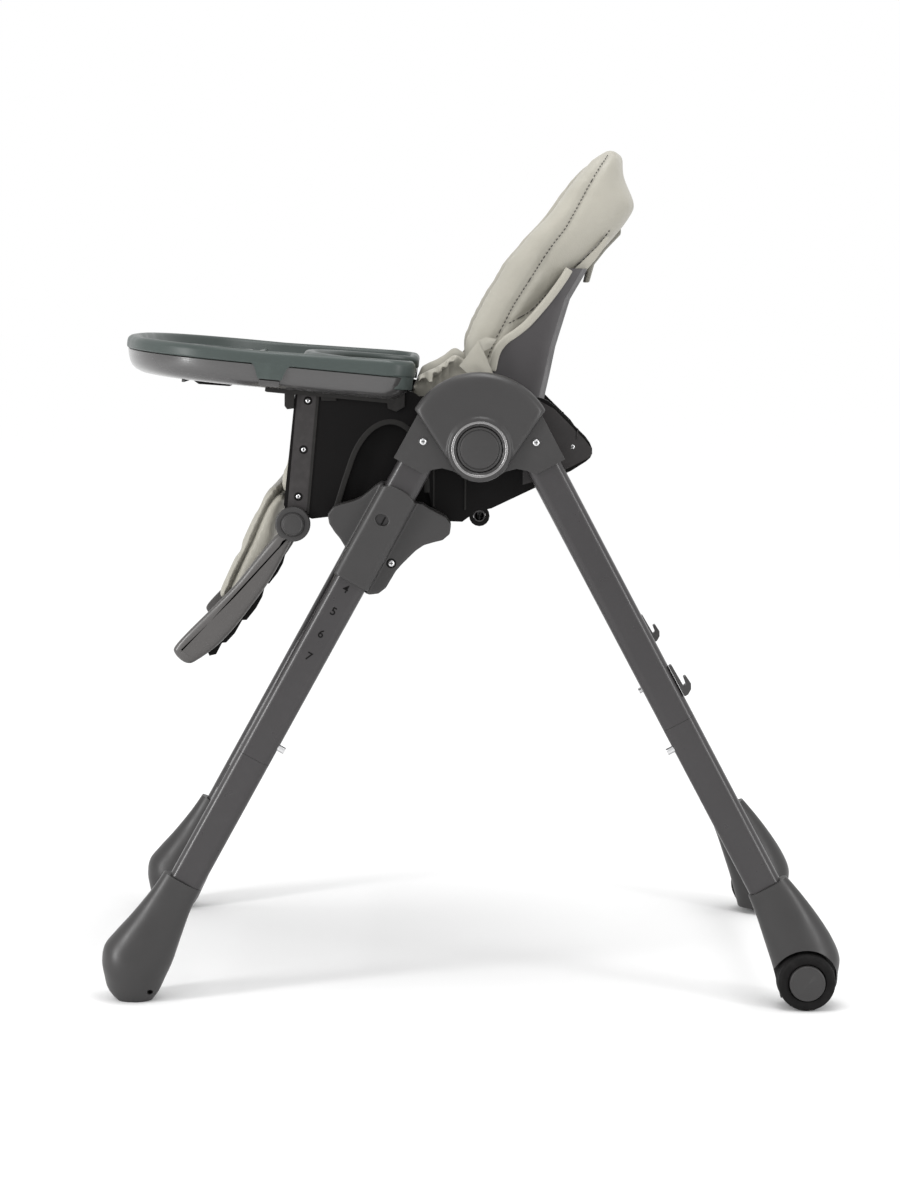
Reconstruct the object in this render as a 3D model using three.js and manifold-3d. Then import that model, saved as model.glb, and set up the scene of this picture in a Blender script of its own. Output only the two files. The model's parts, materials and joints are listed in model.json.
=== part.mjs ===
// Folding baby high chair with a height-adjustable seat.
// Millimetres. +X is the seated child's left, -Y is the front, +Z is up, the floor is z = 0.
// Parts that come in pairs are built once on the +X side and mirrored.

import * as THREE from 'three';
import { mergeVertices } from 'three/addons/utils/BufferGeometryUtils.js';
import Module from 'manifold-3d';

const wasm = await Module();
wasm.setup();

// ---------------------------------------------------------------- driving dimensions

const DEGREE = Math.PI / 180;
const GAP = 0.3; // clearance between parts that rest on each other

const HUB = { y: 5, z: 654 }; // fold axis
const LEG_LEAN = 28.4 * DEGREE; // from the vertical, front and rear
const LEG_OFFSET = 56; // fold axis to a leg's centre line
const LEG_X = 245; // centre plane of the left legs
const TUBE = { deep: 40, wide: 20, wall: 1.6 };
const PLUG = { deep: 36.2, wide: 16.2, wall: 1.4, length: 62 }; // reduced tube end inside its mate
const FRONT_JOINT = 444; // along the leg, where the lower tube enters the upper one
const REAR_JOINT = 392;
const TUBE_END = 690;
const FOOT_TOP = 613;
const FRONT_SNAP = 420;
const REAR_SNAP = 417;
const SNAP = { stem: 4.2, hole: 4.6, flange: 5.5 }; // radii of the button that locks a lower tube
const CROSSBAR = { along: 575, radius: 11, wall: 1.4 };

const STEP_PITCH = 30; // seat height notches
const STEP_COUNT = 7;
const LATCH_ALONG = 180; // height plunger, along the leg with the seat at the top
const LATCH_RADIUS = 4;

const SOCKET = { inner: 231, outer: 259, split: 245.5, disc: 35 };
const COVER = { radius: 88, from: 31, to: 149, face: 267, wall: 3.5 };
const PIVOT_RADIUS = 8;
const BUTTON_RADIUS = 26;

const WHEEL = { y: 394, z: 34, radius: 34, inner: 247, outer: 279, bore: 5.3 };

const BUCKET = { outer: 200, wall: 5 };
const PANEL = { inner: 200.3, outer: 212 };
const SLIDER = { inner: 212.3, wing: 247, outer: 262 };
const CROSS_ROD = { y: 6, z: 573, radius: 7 };

const FOOTREST_AXIS = { y: -212, z: 562, disc: 20.5, pin: 6 };
const RECLINE_AXIS = { y: 32, z: 643, pin: 5 };
const ARM = { inner: 212.3, outer: 221 };

const TRAY = { y: -230, z: 747, tilt: -5 * DEGREE }; // the seam between the two trays
const TRAY_PLAN = { half: 240, front: -194, rear: 158, waist: -20, belly: 30, bellyHalf: 150 };
const RAIL_TOP = -15; // armrest rail, below the tray seam

const PAD_THICKNESS = 20;
const STRAP = { width: 25, thick: 1.8 };

// ---------------------------------------------------------------- materials

const material = (color, roughness, metalness = 0) =>
  new THREE.MeshStandardMaterial({ color, roughness, metalness });

const FRAME_PAINT = material(0x4c4a4b, 0.42, 0.35);
const HUB_PLASTIC = material(0x504e4f, 0.45);
const SEAT_PLASTIC = material(0x2c2a2b, 0.6);
const TRAY_GREY = material(0x6b6a6a, 0.2);
const TRAY_TEAL = material(0x63706e, 0.5);
const FOOTREST_GREY = material(0x807e7e, 0.4);
const SHELL_GREY = material(0x656364, 0.45);
const FABRIC = material(0xb5b1a4, 0.75);
const WEBBING = material(0x8f8c82, 0.85);
const TYRE = material(0x161414, 0.7);
const STEEL = material(0xb9b9bb, 0.3, 0.9);

// ---------------------------------------------------------------- solid helpers

// Turns a closed geometry into a Manifold solid.
function toSolid(geometry) {
  const bare = geometry.clone();
  bare.deleteAttribute('normal');
  bare.deleteAttribute('uv');
  const welded = mergeVertices(bare, 1e-4);
  return new wasm.Manifold(new wasm.Mesh({
    numProp: 3,
    vertProperties: new Float32Array(welded.attributes.position.array),
    triVerts: new Uint32Array(welded.index.array),
  }));
}

function toGeometry(solid) {
  const mesh = solid.getMesh();
  const geometry = new THREE.BufferGeometry();
  const places = new Float32Array(mesh.vertProperties);
  geometry.setAttribute('position', new THREE.BufferAttribute(places, 3));
  geometry.setIndex(new THREE.BufferAttribute(new Uint32Array(mesh.triVerts), 1));
  geometry.computeVertexNormals();
  return geometry;
}

const join = (first, ...rest) =>
  toGeometry(rest.reduce((whole, piece) => whole.add(toSolid(piece)), toSolid(first)));

const cut = (body, ...tools) =>
  toGeometry(tools.reduce((whole, tool) => whole.subtract(toSolid(tool)), toSolid(body)));

const overlap = (first, second) => toGeometry(toSolid(first).intersect(toSolid(second)));

// Signed volume of a closed triangle mesh.
function volume(geometry) {
  const place = geometry.attributes.position;
  const corner = [new THREE.Vector3(), new THREE.Vector3(), new THREE.Vector3()];
  let sum = 0;
  for (let face = 0; face < geometry.index.count; face += 3) {
    corner.forEach((point, k) => point.fromBufferAttribute(place, geometry.index.getX(face + k)));
    sum += corner[0].dot(corner[1].cross(corner[2])) / 6;
  }
  return sum;
}

// Makes the faces of a closed indexed mesh point out.
function faceOut(geometry) {
  if (volume(geometry) < 0) {
    const index = geometry.index;
    for (let face = 0; face < index.count; face += 3) {
      const first = index.getX(face);
      index.setX(face, index.getX(face + 1));
      index.setX(face + 1, first);
    }
  }
  geometry.computeVertexNormals();
  return geometry;
}

const outline = (points) => new THREE.Shape(points.map(([a, b]) => new THREE.Vector2(a, b)));

const SIDE_ON = new THREE.Matrix4().makeBasis(
  new THREE.Vector3(0, 1, 0), new THREE.Vector3(0, 0, 1), new THREE.Vector3(1, 0, 0));

// A side-view outline (y, z) given thickness between two x planes.
function sideOn(shape, from, to) {
  const flat = shape instanceof THREE.Shape ? shape : outline(shape);
  const geometry = new THREE.ExtrudeGeometry(flat, {
    depth: to - from, bevelEnabled: false, curveSegments: 7 });
  return geometry.applyMatrix4(SIDE_ON).translate(from, 0, 0);
}

function box(x, y, z) {
  return new THREE.BoxGeometry(x[1] - x[0], y[1] - y[0], z[1] - z[0])
    .translate((x[0] + x[1]) / 2, (y[0] + y[1]) / 2, (z[0] + z[1]) / 2);
}

// A turned piece about an axis along x through (y, z); the profile is a list of [radius, x].
function turned(profile, y, z, segments = 16) {
  const points = profile.map(([radius, x]) => new THREE.Vector2(radius, x));
  return new THREE.LatheGeometry(points, segments).rotateZ(-Math.PI / 2).translate(0, y, z);
}

const rod = (radius, from, to, y, z, segments = 16) =>
  turned([[0, from], [radius, from], [radius, to], [0, to]], y, z, segments);

// Skins a stack of closed rings and caps both ends; flat(point) lays an end ring out in 2-D.
function loft(rings, flat) {
  const count = rings[0].length;
  const index = [];
  for (let level = 0; level + 1 < rings.length; level += 1) {
    for (let k = 0; k < count; k += 1) {
      const next = (k + 1) % count;
      const low = level * count;
      const high = low + count;
      index.push(low + k, low + next, high + next, low + k, high + next, high + k);
    }
  }
  [0, rings.length - 1].forEach((level) => {
    const ring = rings[level].map(flat);
    const clockwise = THREE.ShapeUtils.isClockWise(ring);
    const faces = THREE.ShapeUtils.triangulateShape(ring, []);
    const flip = (level === 0) === !clockwise;
    faces.forEach(([a, b, c]) => {
      const [p, q] = flip ? [c, b] : [b, c];
      index.push(level * count + a, level * count + p, level * count + q);
    });
  });
  const geometry = new THREE.BufferGeometry();
  const places = rings.flat().flatMap((point) => [point.x, point.y, point.z]);
  geometry.setAttribute('position', new THREE.Float32BufferAttribute(places, 3));
  geometry.setIndex(index);
  return faceOut(geometry);
}

const fromAbove = (point) => new THREE.Vector2(point.x, point.y);

// ---------------------------------------------------------------- leg coordinates
// A leg piece is built in (x, out, along): out from the hub across the leg, along down the leg,
// both measured from the foot of the perpendicular from the fold axis.

const FRONT_LEG = new THREE.Matrix4().makeRotationX(Math.PI - LEG_LEAN).setPosition(
  0, HUB.y - LEG_OFFSET * Math.cos(LEG_LEAN), HUB.z + LEG_OFFSET * Math.sin(LEG_LEAN));

const REAR_MIRROR = new THREE.Matrix4().makeTranslation(0, 2 * HUB.y, 0)
  .multiply(new THREE.Matrix4().makeScale(1, -1, 1));
const REAR_LEG = REAR_MIRROR.clone().multiply(FRONT_LEG);

function onLeg(geometry, leg) {
  const placed = mergeVertices(strip(geometry), 1e-4).applyMatrix4(leg);
  return faceOut(placed);
}

function strip(geometry) {
  const bare = geometry.clone();
  bare.deleteAttribute('normal');
  bare.deleteAttribute('uv');
  return bare;
}

// A flat-sided oval in the (x, out) plane around the leg's centre.
function oval(deep, wide) {
  const radius = wide / 2;
  const straight = deep / 2 - radius;
  const shape = new THREE.Shape();
  shape.absarc(LEG_X, straight, radius, 0, Math.PI, false);
  shape.absarc(LEG_X, -straight, radius, Math.PI, 2 * Math.PI, false);
  return shape;
}

const ovalBar = (deep, wide, from, to) => new THREE.ExtrudeGeometry(
  oval(deep, wide), { depth: to - from, bevelEnabled: false, curveSegments: 4 }).translate(0, 0, from);

// A pin or hole across the leg, along its out direction.
const acrossLeg = (radius, from, to, along) => new THREE.CylinderGeometry(radius, radius, to - from, 10)
  .translate(LEG_X, (from + to) / 2, along);

// ---------------------------------------------------------------- leg tubes

// A tube with, if wanted, a reduced plug that starts at one of its ends.
function legTube(from, to, plugFrom, plugTo) {
  const wall = TUBE.wall * 2;
  const outer = ovalBar(TUBE.deep, TUBE.wide, from, to);
  const bore = ovalBar(TUBE.deep - wall, TUBE.wide - wall, from - 1, to + 1);
  if (plugFrom === undefined) return cut(outer, bore);
  const plugWall = PLUG.wall * 2;
  const plug = ovalBar(PLUG.deep, PLUG.wide, plugFrom, plugTo);
  const plugBore = ovalBar(PLUG.deep - plugWall, PLUG.wide - plugWall, plugFrom - 1, plugTo + 1);
  const lip = 3; // the swaged shoulder closes the step between tube and plug
  const atStart = plugFrom < from;
  const shoulder = atStart ? [from, from + lip] : [to - lip, to];
  const collar = ovalBar(TUBE.deep, TUBE.wide, ...shoulder);
  return cut(join(cut(outer, bore), collar, plug), plugBore);
}

const snapHole = (along) => acrossLeg(SNAP.hole, -30, -8, along);

function frontUpperTube() {
  const half = LATCH_RADIUS + 0.4;
  const last = LATCH_ALONG + STEP_PITCH * (STEP_COUNT - 1);
  const slot = box([230, LEG_X], [-half, half], [LATCH_ALONG, last]);
  const notches = Array.from({ length: STEP_COUNT }, (_, k) =>
    rod(half + 1.2, 230, LEG_X, 0, LATCH_ALONG + STEP_PITCH * k, 10));
  const tube = legTube(0, FRONT_JOINT - GAP);
  return onLeg(cut(tube, slot, ...notches, snapHole(FRONT_SNAP)), FRONT_LEG);
}

function frontLowerTube() {
  const tube = legTube(FRONT_JOINT, TUBE_END, FRONT_JOINT - PLUG.length, FRONT_JOINT + 3);
  return onLeg(cut(tube, snapHole(FRONT_SNAP)), FRONT_LEG);
}

function rearUpperTube() {
  const tube = legTube(0, REAR_JOINT - GAP, REAR_JOINT - 3, REAR_JOINT + PLUG.length);
  return onLeg(cut(tube, snapHole(REAR_SNAP)), REAR_LEG);
}

function rearLowerTube() {
  const tube = legTube(REAR_JOINT, TUBE_END);
  return onLeg(cut(tube, snapHole(REAR_SNAP)), REAR_LEG);
}

// Spring button that locks a lower tube to its upper one.
function snapButton(along, leg) {
  const stem = acrossLeg(SNAP.stem, -28, -12, along);
  const flange = acrossLeg(SNAP.flange, -13.5, -11, along);
  return onLeg(join(stem, flange), leg);
}

function crossbar(leg) {
  const end = LEG_X - TUBE.wide / 2 - GAP;
  const { along, radius, wall } = CROSSBAR;
  const pipe = rod(radius, -end, end, 0, along);
  const flanges = [[-end, 4 - end], [end - 4, end]].map((x) =>
    box(x, [-15, 15], [along - 17, along + 17]));
  const bore = rod(radius - wall, -end - 1, end + 1, 0, along);
  return onLeg(cut(join(pipe, ...flanges), bore), leg);
}

// ---------------------------------------------------------------- feet and wheels

// Stations of a foot: [along, centre out, half out, half x].
function footLoft(stations) {
  const turns = Array.from({ length: 16 }, (_, k) => (k / 16) * 2 * Math.PI);
  const rings = stations.map(([along, centre, halfOut, halfX]) => turns.map((turn) =>
    new THREE.Vector3(LEG_X + halfX * Math.cos(turn), centre + halfOut * Math.sin(turn), along)));
  return loft(rings, fromAbove);
}

const tubeSocket = () =>
  ovalBar(TUBE.deep + 2 * GAP, TUBE.wide + 2 * GAP, FOOT_TOP - 5, TUBE_END + 1);

function frontFoot() {
  const bulb = footLoft([
    [FOOT_TOP, 3.5, 24, 13.8], [640, 4.5, 26, 16.5], [675, 5, 32, 22.5], [704, 6, 38, 28.5],
    [725, 7, 40.5, 32], [743, 3.5, 38, 30.5], [757, -0.5, 31.5, 25.5], [768, -2, 23, 18],
    [775, -5, 11, 9],
  ]);
  const underFloor = box([150, 350], [-600, -200], [-60, 0]);
  return cut(onLeg(cut(bulb, tubeSocket()), FRONT_LEG), underFloor);
}

function rearFoot() {
  const bulb = footLoft([
    [FOOT_TOP, 3, 25, 14], [640, 4.5, 29.5, 17.5], [673, 4.5, 35, 23.5], [704, 3, 39, 29],
    [728, -1, 40.5, 32], [745, -8, 36.8, 30], [758, -10, 30, 23.5], [766, -12, 16, 12],
  ]);
  const body = onLeg(cut(bulb, tubeSocket()), REAR_LEG);
  const arch = rod(WHEEL.radius + 3.5, LEG_X + 0.5, 320, WHEEL.y, WHEEL.z, 26);
  const belowArch = box([LEG_X + 0.5, 320], [300, 500], [-20, WHEEL.z - 3]);
  const underside = box([150, 320], [300, 500], [-40, 8]);
  const axleHole = rod(WHEEL.bore, 222, 250, WHEEL.y, WHEEL.z);
  return cut(body, arch, belowArch, underside, axleHole);
}

function wheel() {
  const { radius, inner, outer, bore } = WHEEL;
  return turned([
    [bore, inner], [radius - 5, inner], [radius - 1, inner + 3], [radius, inner + 8],
    [radius, outer - 8], [radius - 1, outer - 3], [radius - 5, outer], [22, outer], [22, outer - 4],
    [bore, outer - 4], [bore, inner],
  ], WHEEL.y, WHEEL.z, 26);
}

// Stub axle with the broad cap that covers the wheel's middle.
function wheelAxle() {
  const stub = WHEEL.bore - GAP;
  const capBack = WHEEL.outer - 3.7;
  return turned([
    [0, 223], [stub, 223], [stub, capBack], [21, capBack], [21, WHEEL.outer + 2.5],
    [19.5, WHEEL.outer + 4], [0, WHEEL.outer + 4.6],
  ], WHEEL.y, WHEEL.z, 20);
}

// ---------------------------------------------------------------- fold hub

// Socket outline in (out, along), from the leg in to the hub disc.
const SOCKET_OUTLINE = [
  [-56, -30], [-24, -25], [18, -25], [23, -20], [25.5, -12], [25.5, 56.5], [-12.5, 56.5],
  [-20, 47], [-29, 40], [-41.5, 37], [-56, 37],
];

function socket(leg, discFrom, discTo, pocketFrom, pocketTo) {
  const { inner, outer, disc } = SOCKET;
  const block = sideOn(SOCKET_OUTLINE, inner, outer);
  const tube = ovalBar(TUBE.deep + 2 * GAP, TUBE.wide + 2 * GAP, -0.5, 80);
  const clearance = rod(disc + 0.8, pocketFrom, pocketTo, -LEG_OFFSET, 0, 24);
  const plate = rod(disc, discFrom, discTo, -LEG_OFFSET, 0, 24);
  const pivot = rod(PIVOT_RADIUS + GAP, inner - 1, outer + 1, -LEG_OFFSET, 0);
  return onLeg(cut(join(cut(block, clearance), plate), tube, pivot), leg);
}

function frontSocket() {
  const { inner, outer, split } = SOCKET;
  const body = socket(FRONT_LEG, split + 0.5, outer, inner - 1, split + 0.5);
  return cut(body, rod(BUTTON_RADIUS + 1.5, 250, outer + 1, HUB.y, HUB.z, 24));
}

function rearSocket() {
  const { inner, outer, split } = SOCKET;
  return socket(REAR_LEG, inner, split, split, outer + 1);
}

// Fan-shaped face: a wide arc over the hub that closes round the button collar.
function fanShape(radius, collar) {
  const from = COVER.from * DEGREE;
  const to = COVER.to * DEGREE;
  const tangent = Math.acos(collar / radius);
  const shape = new THREE.Shape();
  shape.absarc(0, 0, radius, from, to, false);
  shape.absarc(0, 0, collar, to + tangent, from - tangent + 2 * Math.PI, false);
  return shape;
}

// Band of the given radii over the cover's arc.
function arcBand(inside, outside) {
  const shape = new THREE.Shape();
  shape.absarc(0, 0, outside, COVER.from * DEGREE, COVER.to * DEGREE, false);
  shape.absarc(0, 0, inside, COVER.to * DEGREE, COVER.from * DEGREE, true);
  return shape;
}

function hubCover() {
  const back = SOCKET.outer + GAP;
  const edge = 5; // rounding of the rim, front and back; the back rounding is cut away
  const bevel = { bevelThickness: edge, bevelSize: edge, bevelOffset: -edge, bevelSegments: 2 };
  const flat = { depth: COVER.face - edge - back, curveSegments: 10, ...bevel };
  const face = new THREE.ExtrudeGeometry(fanShape(COVER.radius, 38), flat)
    .applyMatrix4(SIDE_ON).translate(back, HUB.y, HUB.z);
  const behind = box([150, back], [-200, 200], [400, 900]);
  const skirt = sideOn(arcBand(COVER.radius - COVER.wall, COVER.radius), SOCKET.inner, back + 3)
    .translate(0, HUB.y, HUB.z);
  const collar = turned([
    [0, back], [38, back], [38, COVER.face], [36.5, COVER.face + 2.5], [33, COVER.face + 3.6],
    [30, COVER.face + 3.6], [28.5, COVER.face + 1], [0, COVER.face + 1],
  ], HUB.y, HUB.z, 24);
  const hole = rod(BUTTON_RADIUS + 0.5, 200, 300, HUB.y, HUB.z, 24);
  return cut(join(cut(face, behind), skirt, collar), hole);
}

const foldButton = () => turned([
  [0, 255.6], [BUTTON_RADIUS, 255.6], [BUTTON_RADIUS, COVER.face + 1.2], [25, COVER.face + 2.4],
  [22, COVER.face + 3], [0, COVER.face + 3.4],
], HUB.y, HUB.z, 24);

const foldPivotPin = () => turned([
  [0, 224], [13, 224], [13, 228], [11, SOCKET.inner - GAP], [PIVOT_RADIUS, SOCKET.inner - GAP],
  [PIVOT_RADIUS, 249], [0, 249],
], HUB.y, HUB.z);

// ---------------------------------------------------------------- height adjusters

// Four-lobed housing that rides on the front leg, in (out, along).
const SLIDER_OUTLINE = [
  [24, 85], [14, 76], [-2, 79], [-15, 83], [-28, 88], [-42, 89], [-58, 88], [-69, 92], [-74, 103],
  [-70, 114], [-59, 124], [-51, 134], [-45, 152], [-40, 172], [-39, 196], [-30, 209], [-14, 212],
  [0, 207], [10, 194], [19, 181], [30, 172], [48, 164], [60, 155], [60, 142], [50, 131],
  [38, 119], [30, 100], [24, 85],
];

function sliderShape() {
  const [start, ...rest] = SLIDER_OUTLINE.map(([a, b]) => new THREE.Vector2(a, b));
  const curve = new THREE.Shape();
  curve.moveTo(start.x, start.y);
  curve.splineThru(rest);
  return new THREE.Shape(curve.getSpacedPoints(38).slice(0, -1));
}

// Raised sleeve section around the tube, in (x, out).
function sleeveShape() {
  const half = 23;
  const round = 9;
  const outer = SLIDER.outer;
  const shape = new THREE.Shape();
  shape.moveTo(230, -half);
  shape.lineTo(outer - round, -half);
  shape.absarc(outer - round, round - half, round, -Math.PI / 2, 0, false);
  shape.absarc(outer - round, half - round, round, 0, Math.PI / 2, false);
  shape.lineTo(230, half);
  return shape;
}

function slider() {
  const wings = sideOn(sliderShape(), SLIDER.inner, SLIDER.wing);
  const sleeve = new THREE.ExtrudeGeometry(sleeveShape(), {
    depth: 122, bevelEnabled: false, curveSegments: 5 }).translate(0, 0, 85);
  const tunnel = ovalBar(TUBE.deep + 1, TUBE.wide + 1, 60, 240);
  const digitWindow = rod(1, 250, 280, 0, 0, 20).scale(1, 8, 6.5).translate(0, 3, 126);
  const latchBore = rod(LATCH_RADIUS + GAP, 200, 240, 0, LATCH_ALONG);
  return onLeg(cut(join(wings, sleeve), tunnel, digitWindow, latchBore), FRONT_LEG);
}

// Pull knob whose pin steps along the notched slot in the leg.
const heightLatch = () => onLeg(turned([
  [0, 197], [10.5, 197], [12, 199], [12, 206], [10, 208.5], [LATCH_RADIUS, 209.5],
  [LATCH_RADIUS, 240.5], [3, 242], [0, 242],
], 0, LATCH_ALONG, 20), FRONT_LEG);

// ---------------------------------------------------------------- tray hooks on the rear legs

const trayHook = () => onLeg(sideOn([
  [20 + GAP, 327], [20 + GAP, 367], [25, 367], [31, 363], [34, 357], [33, 346], [29.5, 346],
  [28.5, 355], [25, 356], [24, 327],
], LEG_X - 7, LEG_X + 7), REAR_LEG);

// ---------------------------------------------------------------- seat

// A point of the tray's own frame, in the chair's side view.
function fromTray(along, up) {
  const [c, s] = [Math.cos(TRAY.tilt), Math.sin(TRAY.tilt)];
  return [TRAY.y + along * c - up * s, TRAY.z + along * s + up * c];
}

function sidePanelShape() {
  const shape = new THREE.Shape();
  shape.moveTo(-223, 583);
  shape.lineTo(-209, 722);
  shape.lineTo(...fromTray(23, RAIL_TOP));
  shape.lineTo(...fromTray(150, RAIL_TOP));
  shape.quadraticCurveTo(-72, 718, -66, 712);
  shape.lineTo(70, 712);
  shape.quadraticCurveTo(82, 712, 92, 703);
  shape.lineTo(129, 667);
  shape.quadraticCurveTo(145, 648, 130, 638);
  shape.lineTo(113, 627);
  shape.lineTo(75, 608);
  shape.lineTo(20, 582);
  shape.lineTo(2, 578);
  shape.lineTo(-14, 566);
  shape.lineTo(-46, 567);
  shape.lineTo(-54, 600);
  shape.bezierCurveTo(-52, 700, -124, 712, -148, 630);
  shape.quadraticCurveTo(-158, 600, -166, 571);
  shape.lineTo(-190, 568);
  return new THREE.Shape(shape.getPoints(5));
}

function sidePanel() {
  const { inner, outer } = PANEL;
  const plate = sideOn(sidePanelShape(), inner, outer);
  const hingeLug = rod(15, inner, outer, FOOTREST_AXIS.y, FOOTREST_AXIS.z);
  const neck = box([inner, outer], [-222, -200], [FOOTREST_AXIS.z, 590]);
  const rodLug = rod(12, inner, outer, CROSS_ROD.y, CROSS_ROD.z);
  const armRecess = sideOn([
    [40, 674], [84, 674], [85, 660], [70, 645], [56, 632], [52, 660],
  ], outer - 3, outer + 1);
  const hinge = rod(FOOTREST_AXIS.pin + GAP, 190, 230, FOOTREST_AXIS.y, FOOTREST_AXIS.z);
  const recline = rod(RECLINE_AXIS.pin + GAP, 190, 230, RECLINE_AXIS.y, RECLINE_AXIS.z);
  const rodHole = rod(CROSS_ROD.radius + GAP, 190, 230, CROSS_ROD.y, CROSS_ROD.z);
  return cut(join(plate, hingeLug, neck, rodLug), armRecess, hinge, recline, rodHole);
}

function seatBucket() {
  const { outer, wall } = BUCKET;
  const inside = outer - wall;
  const body = sideOn([
    [-222, 588], [-10, 573], [50, 613], [62, 640], [62, 704], [-205, 704],
  ], -outer, outer);
  const hollow = sideOn([
    [-240, 594.3], [-12, 578.3], [46, 617], [90, 617], [90, 760], [-240, 760],
  ], -inside, inside);
  const pins = rod(RECLINE_AXIS.pin + GAP, -outer - 1, outer + 1, RECLINE_AXIS.y, RECLINE_AXIS.z);
  return cut(body, hollow, pins);
}

const seatCrossTube = () => cut(
  rod(CROSS_ROD.radius, -211, 211, CROSS_ROD.y, CROSS_ROD.z),
  rod(CROSS_ROD.radius - 1.5, -220, 220, CROSS_ROD.y, CROSS_ROD.z));

const reclinePin = () => turned([
  [0, 184], [RECLINE_AXIS.pin, 184], [RECLINE_AXIS.pin, PANEL.outer + GAP], [9, PANEL.outer + GAP],
  [9, 214.5], [7, 215.5], [0, 215.5],
], RECLINE_AXIS.y, RECLINE_AXIS.z);

// ---------------------------------------------------------------- backrest

// A channel section open to the front, in the (x, y) plane at one height.
function channelRing(z, front, rear, half, wall) {
  const round = 22;
  const side = (sign) => [
    [half, front], [half, rear - round], [half - 6, rear - 7], [half - round, rear],
  ].map(([x, y]) => [sign * x, y]);
  const inner = (sign) => [
    [half - wall, front], [half - wall, rear - round - 2], [half - wall - 6, rear - wall - 7],
    [half - round - wall, rear - wall],
  ].map(([x, y]) => [sign * x, Math.max(y, front + (y > front ? 0.5 : 0))]);
  const ring = [...side(1), ...side(-1).reverse(), ...inner(-1), ...inner(1).reverse()];
  return ring.map(([x, y]) => new THREE.Vector3(x, y, z));
}

// Backrest shell stations: [z, front edge, rear face, half width].
const SHELL_STATIONS = [
  [629, 22, 52, 189], [638, 18, 66, 192], [700, 18, 79, 192], [740, 20, 88, 190],
  [770, 24, 94, 187], [784, 42, 98, 185], [800, 62, 103, 182], [826, 84, 111, 178],
  [848, 100, 124, 172], [862, 108, 132, 166],
];

const SHELL_WALL = 5;

function backrestShell() {
  const rings = SHELL_STATIONS.map((station) => channelRing(...station, SHELL_WALL));
  const pins = rod(RECLINE_AXIS.pin + GAP, -200, 200, RECLINE_AXIS.y, RECLINE_AXIS.z);
  return cut(loft(rings, fromAbove), pins);
}

// Backrest pad stations: [z, wing front edge, back face, half width].
const PAD_STATIONS = [
  [655, 28, 62, 174], [700, 6, 72, 176], [740, -12, 80, 176], [768, -20, 86, 175],
  [800, -4, 95, 172], [838, 16, 108, 168], [868, 34, 124, 164], [901, 57, 150, 160],
  [925, 76, 168, 157], [945, 92, 178, 154], [972, 122, 174, 148], [996, 150, 173, 138],
  [1010, 161, 171, 122],
];

function padRing([z, front, back, half]) {
  const clamp = (y, least) => Math.max(y, front + least);
  const deep = PAD_THICKNESS;
  const outer = [[half - 6, front], [half, front + 5], [half, clamp(back - 26, 5.5)],
    [half - 9, clamp(back - 8, 6)], [half - 30, back]];
  const inner = [[half - deep + 3, front], [half - deep, clamp(back - deep - 22, 0.5)],
    [half - deep - 8, clamp(back - deep - 7, 0.8)], [half - deep - 26, clamp(back - deep, 1)]];
  const flip = (points) => points.map(([x, y]) => [-x, y]);
  const ring = [...outer, ...flip(outer).reverse(), ...flip(inner), ...inner.reverse()];
  return ring.map(([x, y]) => new THREE.Vector3(x, y, z));
}

const backrestPad = () => loft(PAD_STATIONS.map(padRing), fromAbove);

// Flat strap laid on the pad's front face.
function shoulderStrap() {
  const near = PAD_STATIONS.filter(([z]) => z >= 700 && z <= 868)
    .map(([z, , back]) => [back - PAD_THICKNESS - 0.8, z]);
  const far = near.map(([y, z]) => [y - STRAP.thick, z]).reverse();
  return sideOn([...near, ...far], 40, 40 + STRAP.width);
}

const reclineLever = () => sideOn([
  [134, 846], [140, 846], [146, 868], [160, 886], [178, 905], [178, 914], [172, 914], [154, 890],
  [140, 872],
], -24, 24);

// ---------------------------------------------------------------- seat pad and harness

function seatPad() {
  const cushion = sideOn([
    [-226, 595], [-14, 580], [22, 604], [14, 618], [-14, 604], [-100, 607], [-214, 619], [-228, 611],
  ], -184, 184);
  const wingOutline = [
    [-210, 596], [-12, 582], [8, 600], [10, 700], [0, 740], [-50, 740], [-66, 697], [-196, 697],
  ];
  const wings = [[180, 194], [-194, -180]].map((x) => sideOn(wingOutline, ...x));
  return join(cushion, ...wings);
}

const crotchStrap = () => sideOn([
  [-119, 609.5], [-104, 637], [-84, 646], [-84, 648], [-105.5, 639], [-121, 610],
], -STRAP.width / 2, STRAP.width / 2);

function harnessBuckle() {
  const body = sideOn([
    [-84, 640], [-79, 636], [-46, 636], [-40, 640], [-40, 650], [-46, 655], [-79, 655], [-84, 651],
  ], -24, 24);
  const strapSlot = box([-14, 14], [-86, -80], [644, 650]);
  return cut(body, strapSlot, box([-11, 11], [-69, -51], [649.5, 660]));
}

const buckleButton = () => box([-9.5, 9.5], [-67, -53], [653, 658]);

// ---------------------------------------------------------------- footrest

const ARM_OUTLINE = [
  [-230, 552], [-254, 523], [-273, 498], [-307, 462], [-344, 423], [-351, 412], [-346, 402],
  [-333, 396], [-304, 417], [-285, 435], [-263, 462], [-238, 496], [-212, 545],
];
const BOARD_OUTLINE = [
  [-247, 513], [-266, 487], [-292, 455], [-330, 418], [-341, 410], [-333, 398], [-304, 417],
  [-285, 435], [-263, 462], [-240, 497],
];
const RIB_OUTLINE = [
  [-244, 492], [-263, 463], [-285, 436], [-304, 418], [-330, 402], [-315, 390], [-300, 400],
  [-270, 440], [-249, 474],
];

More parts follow.
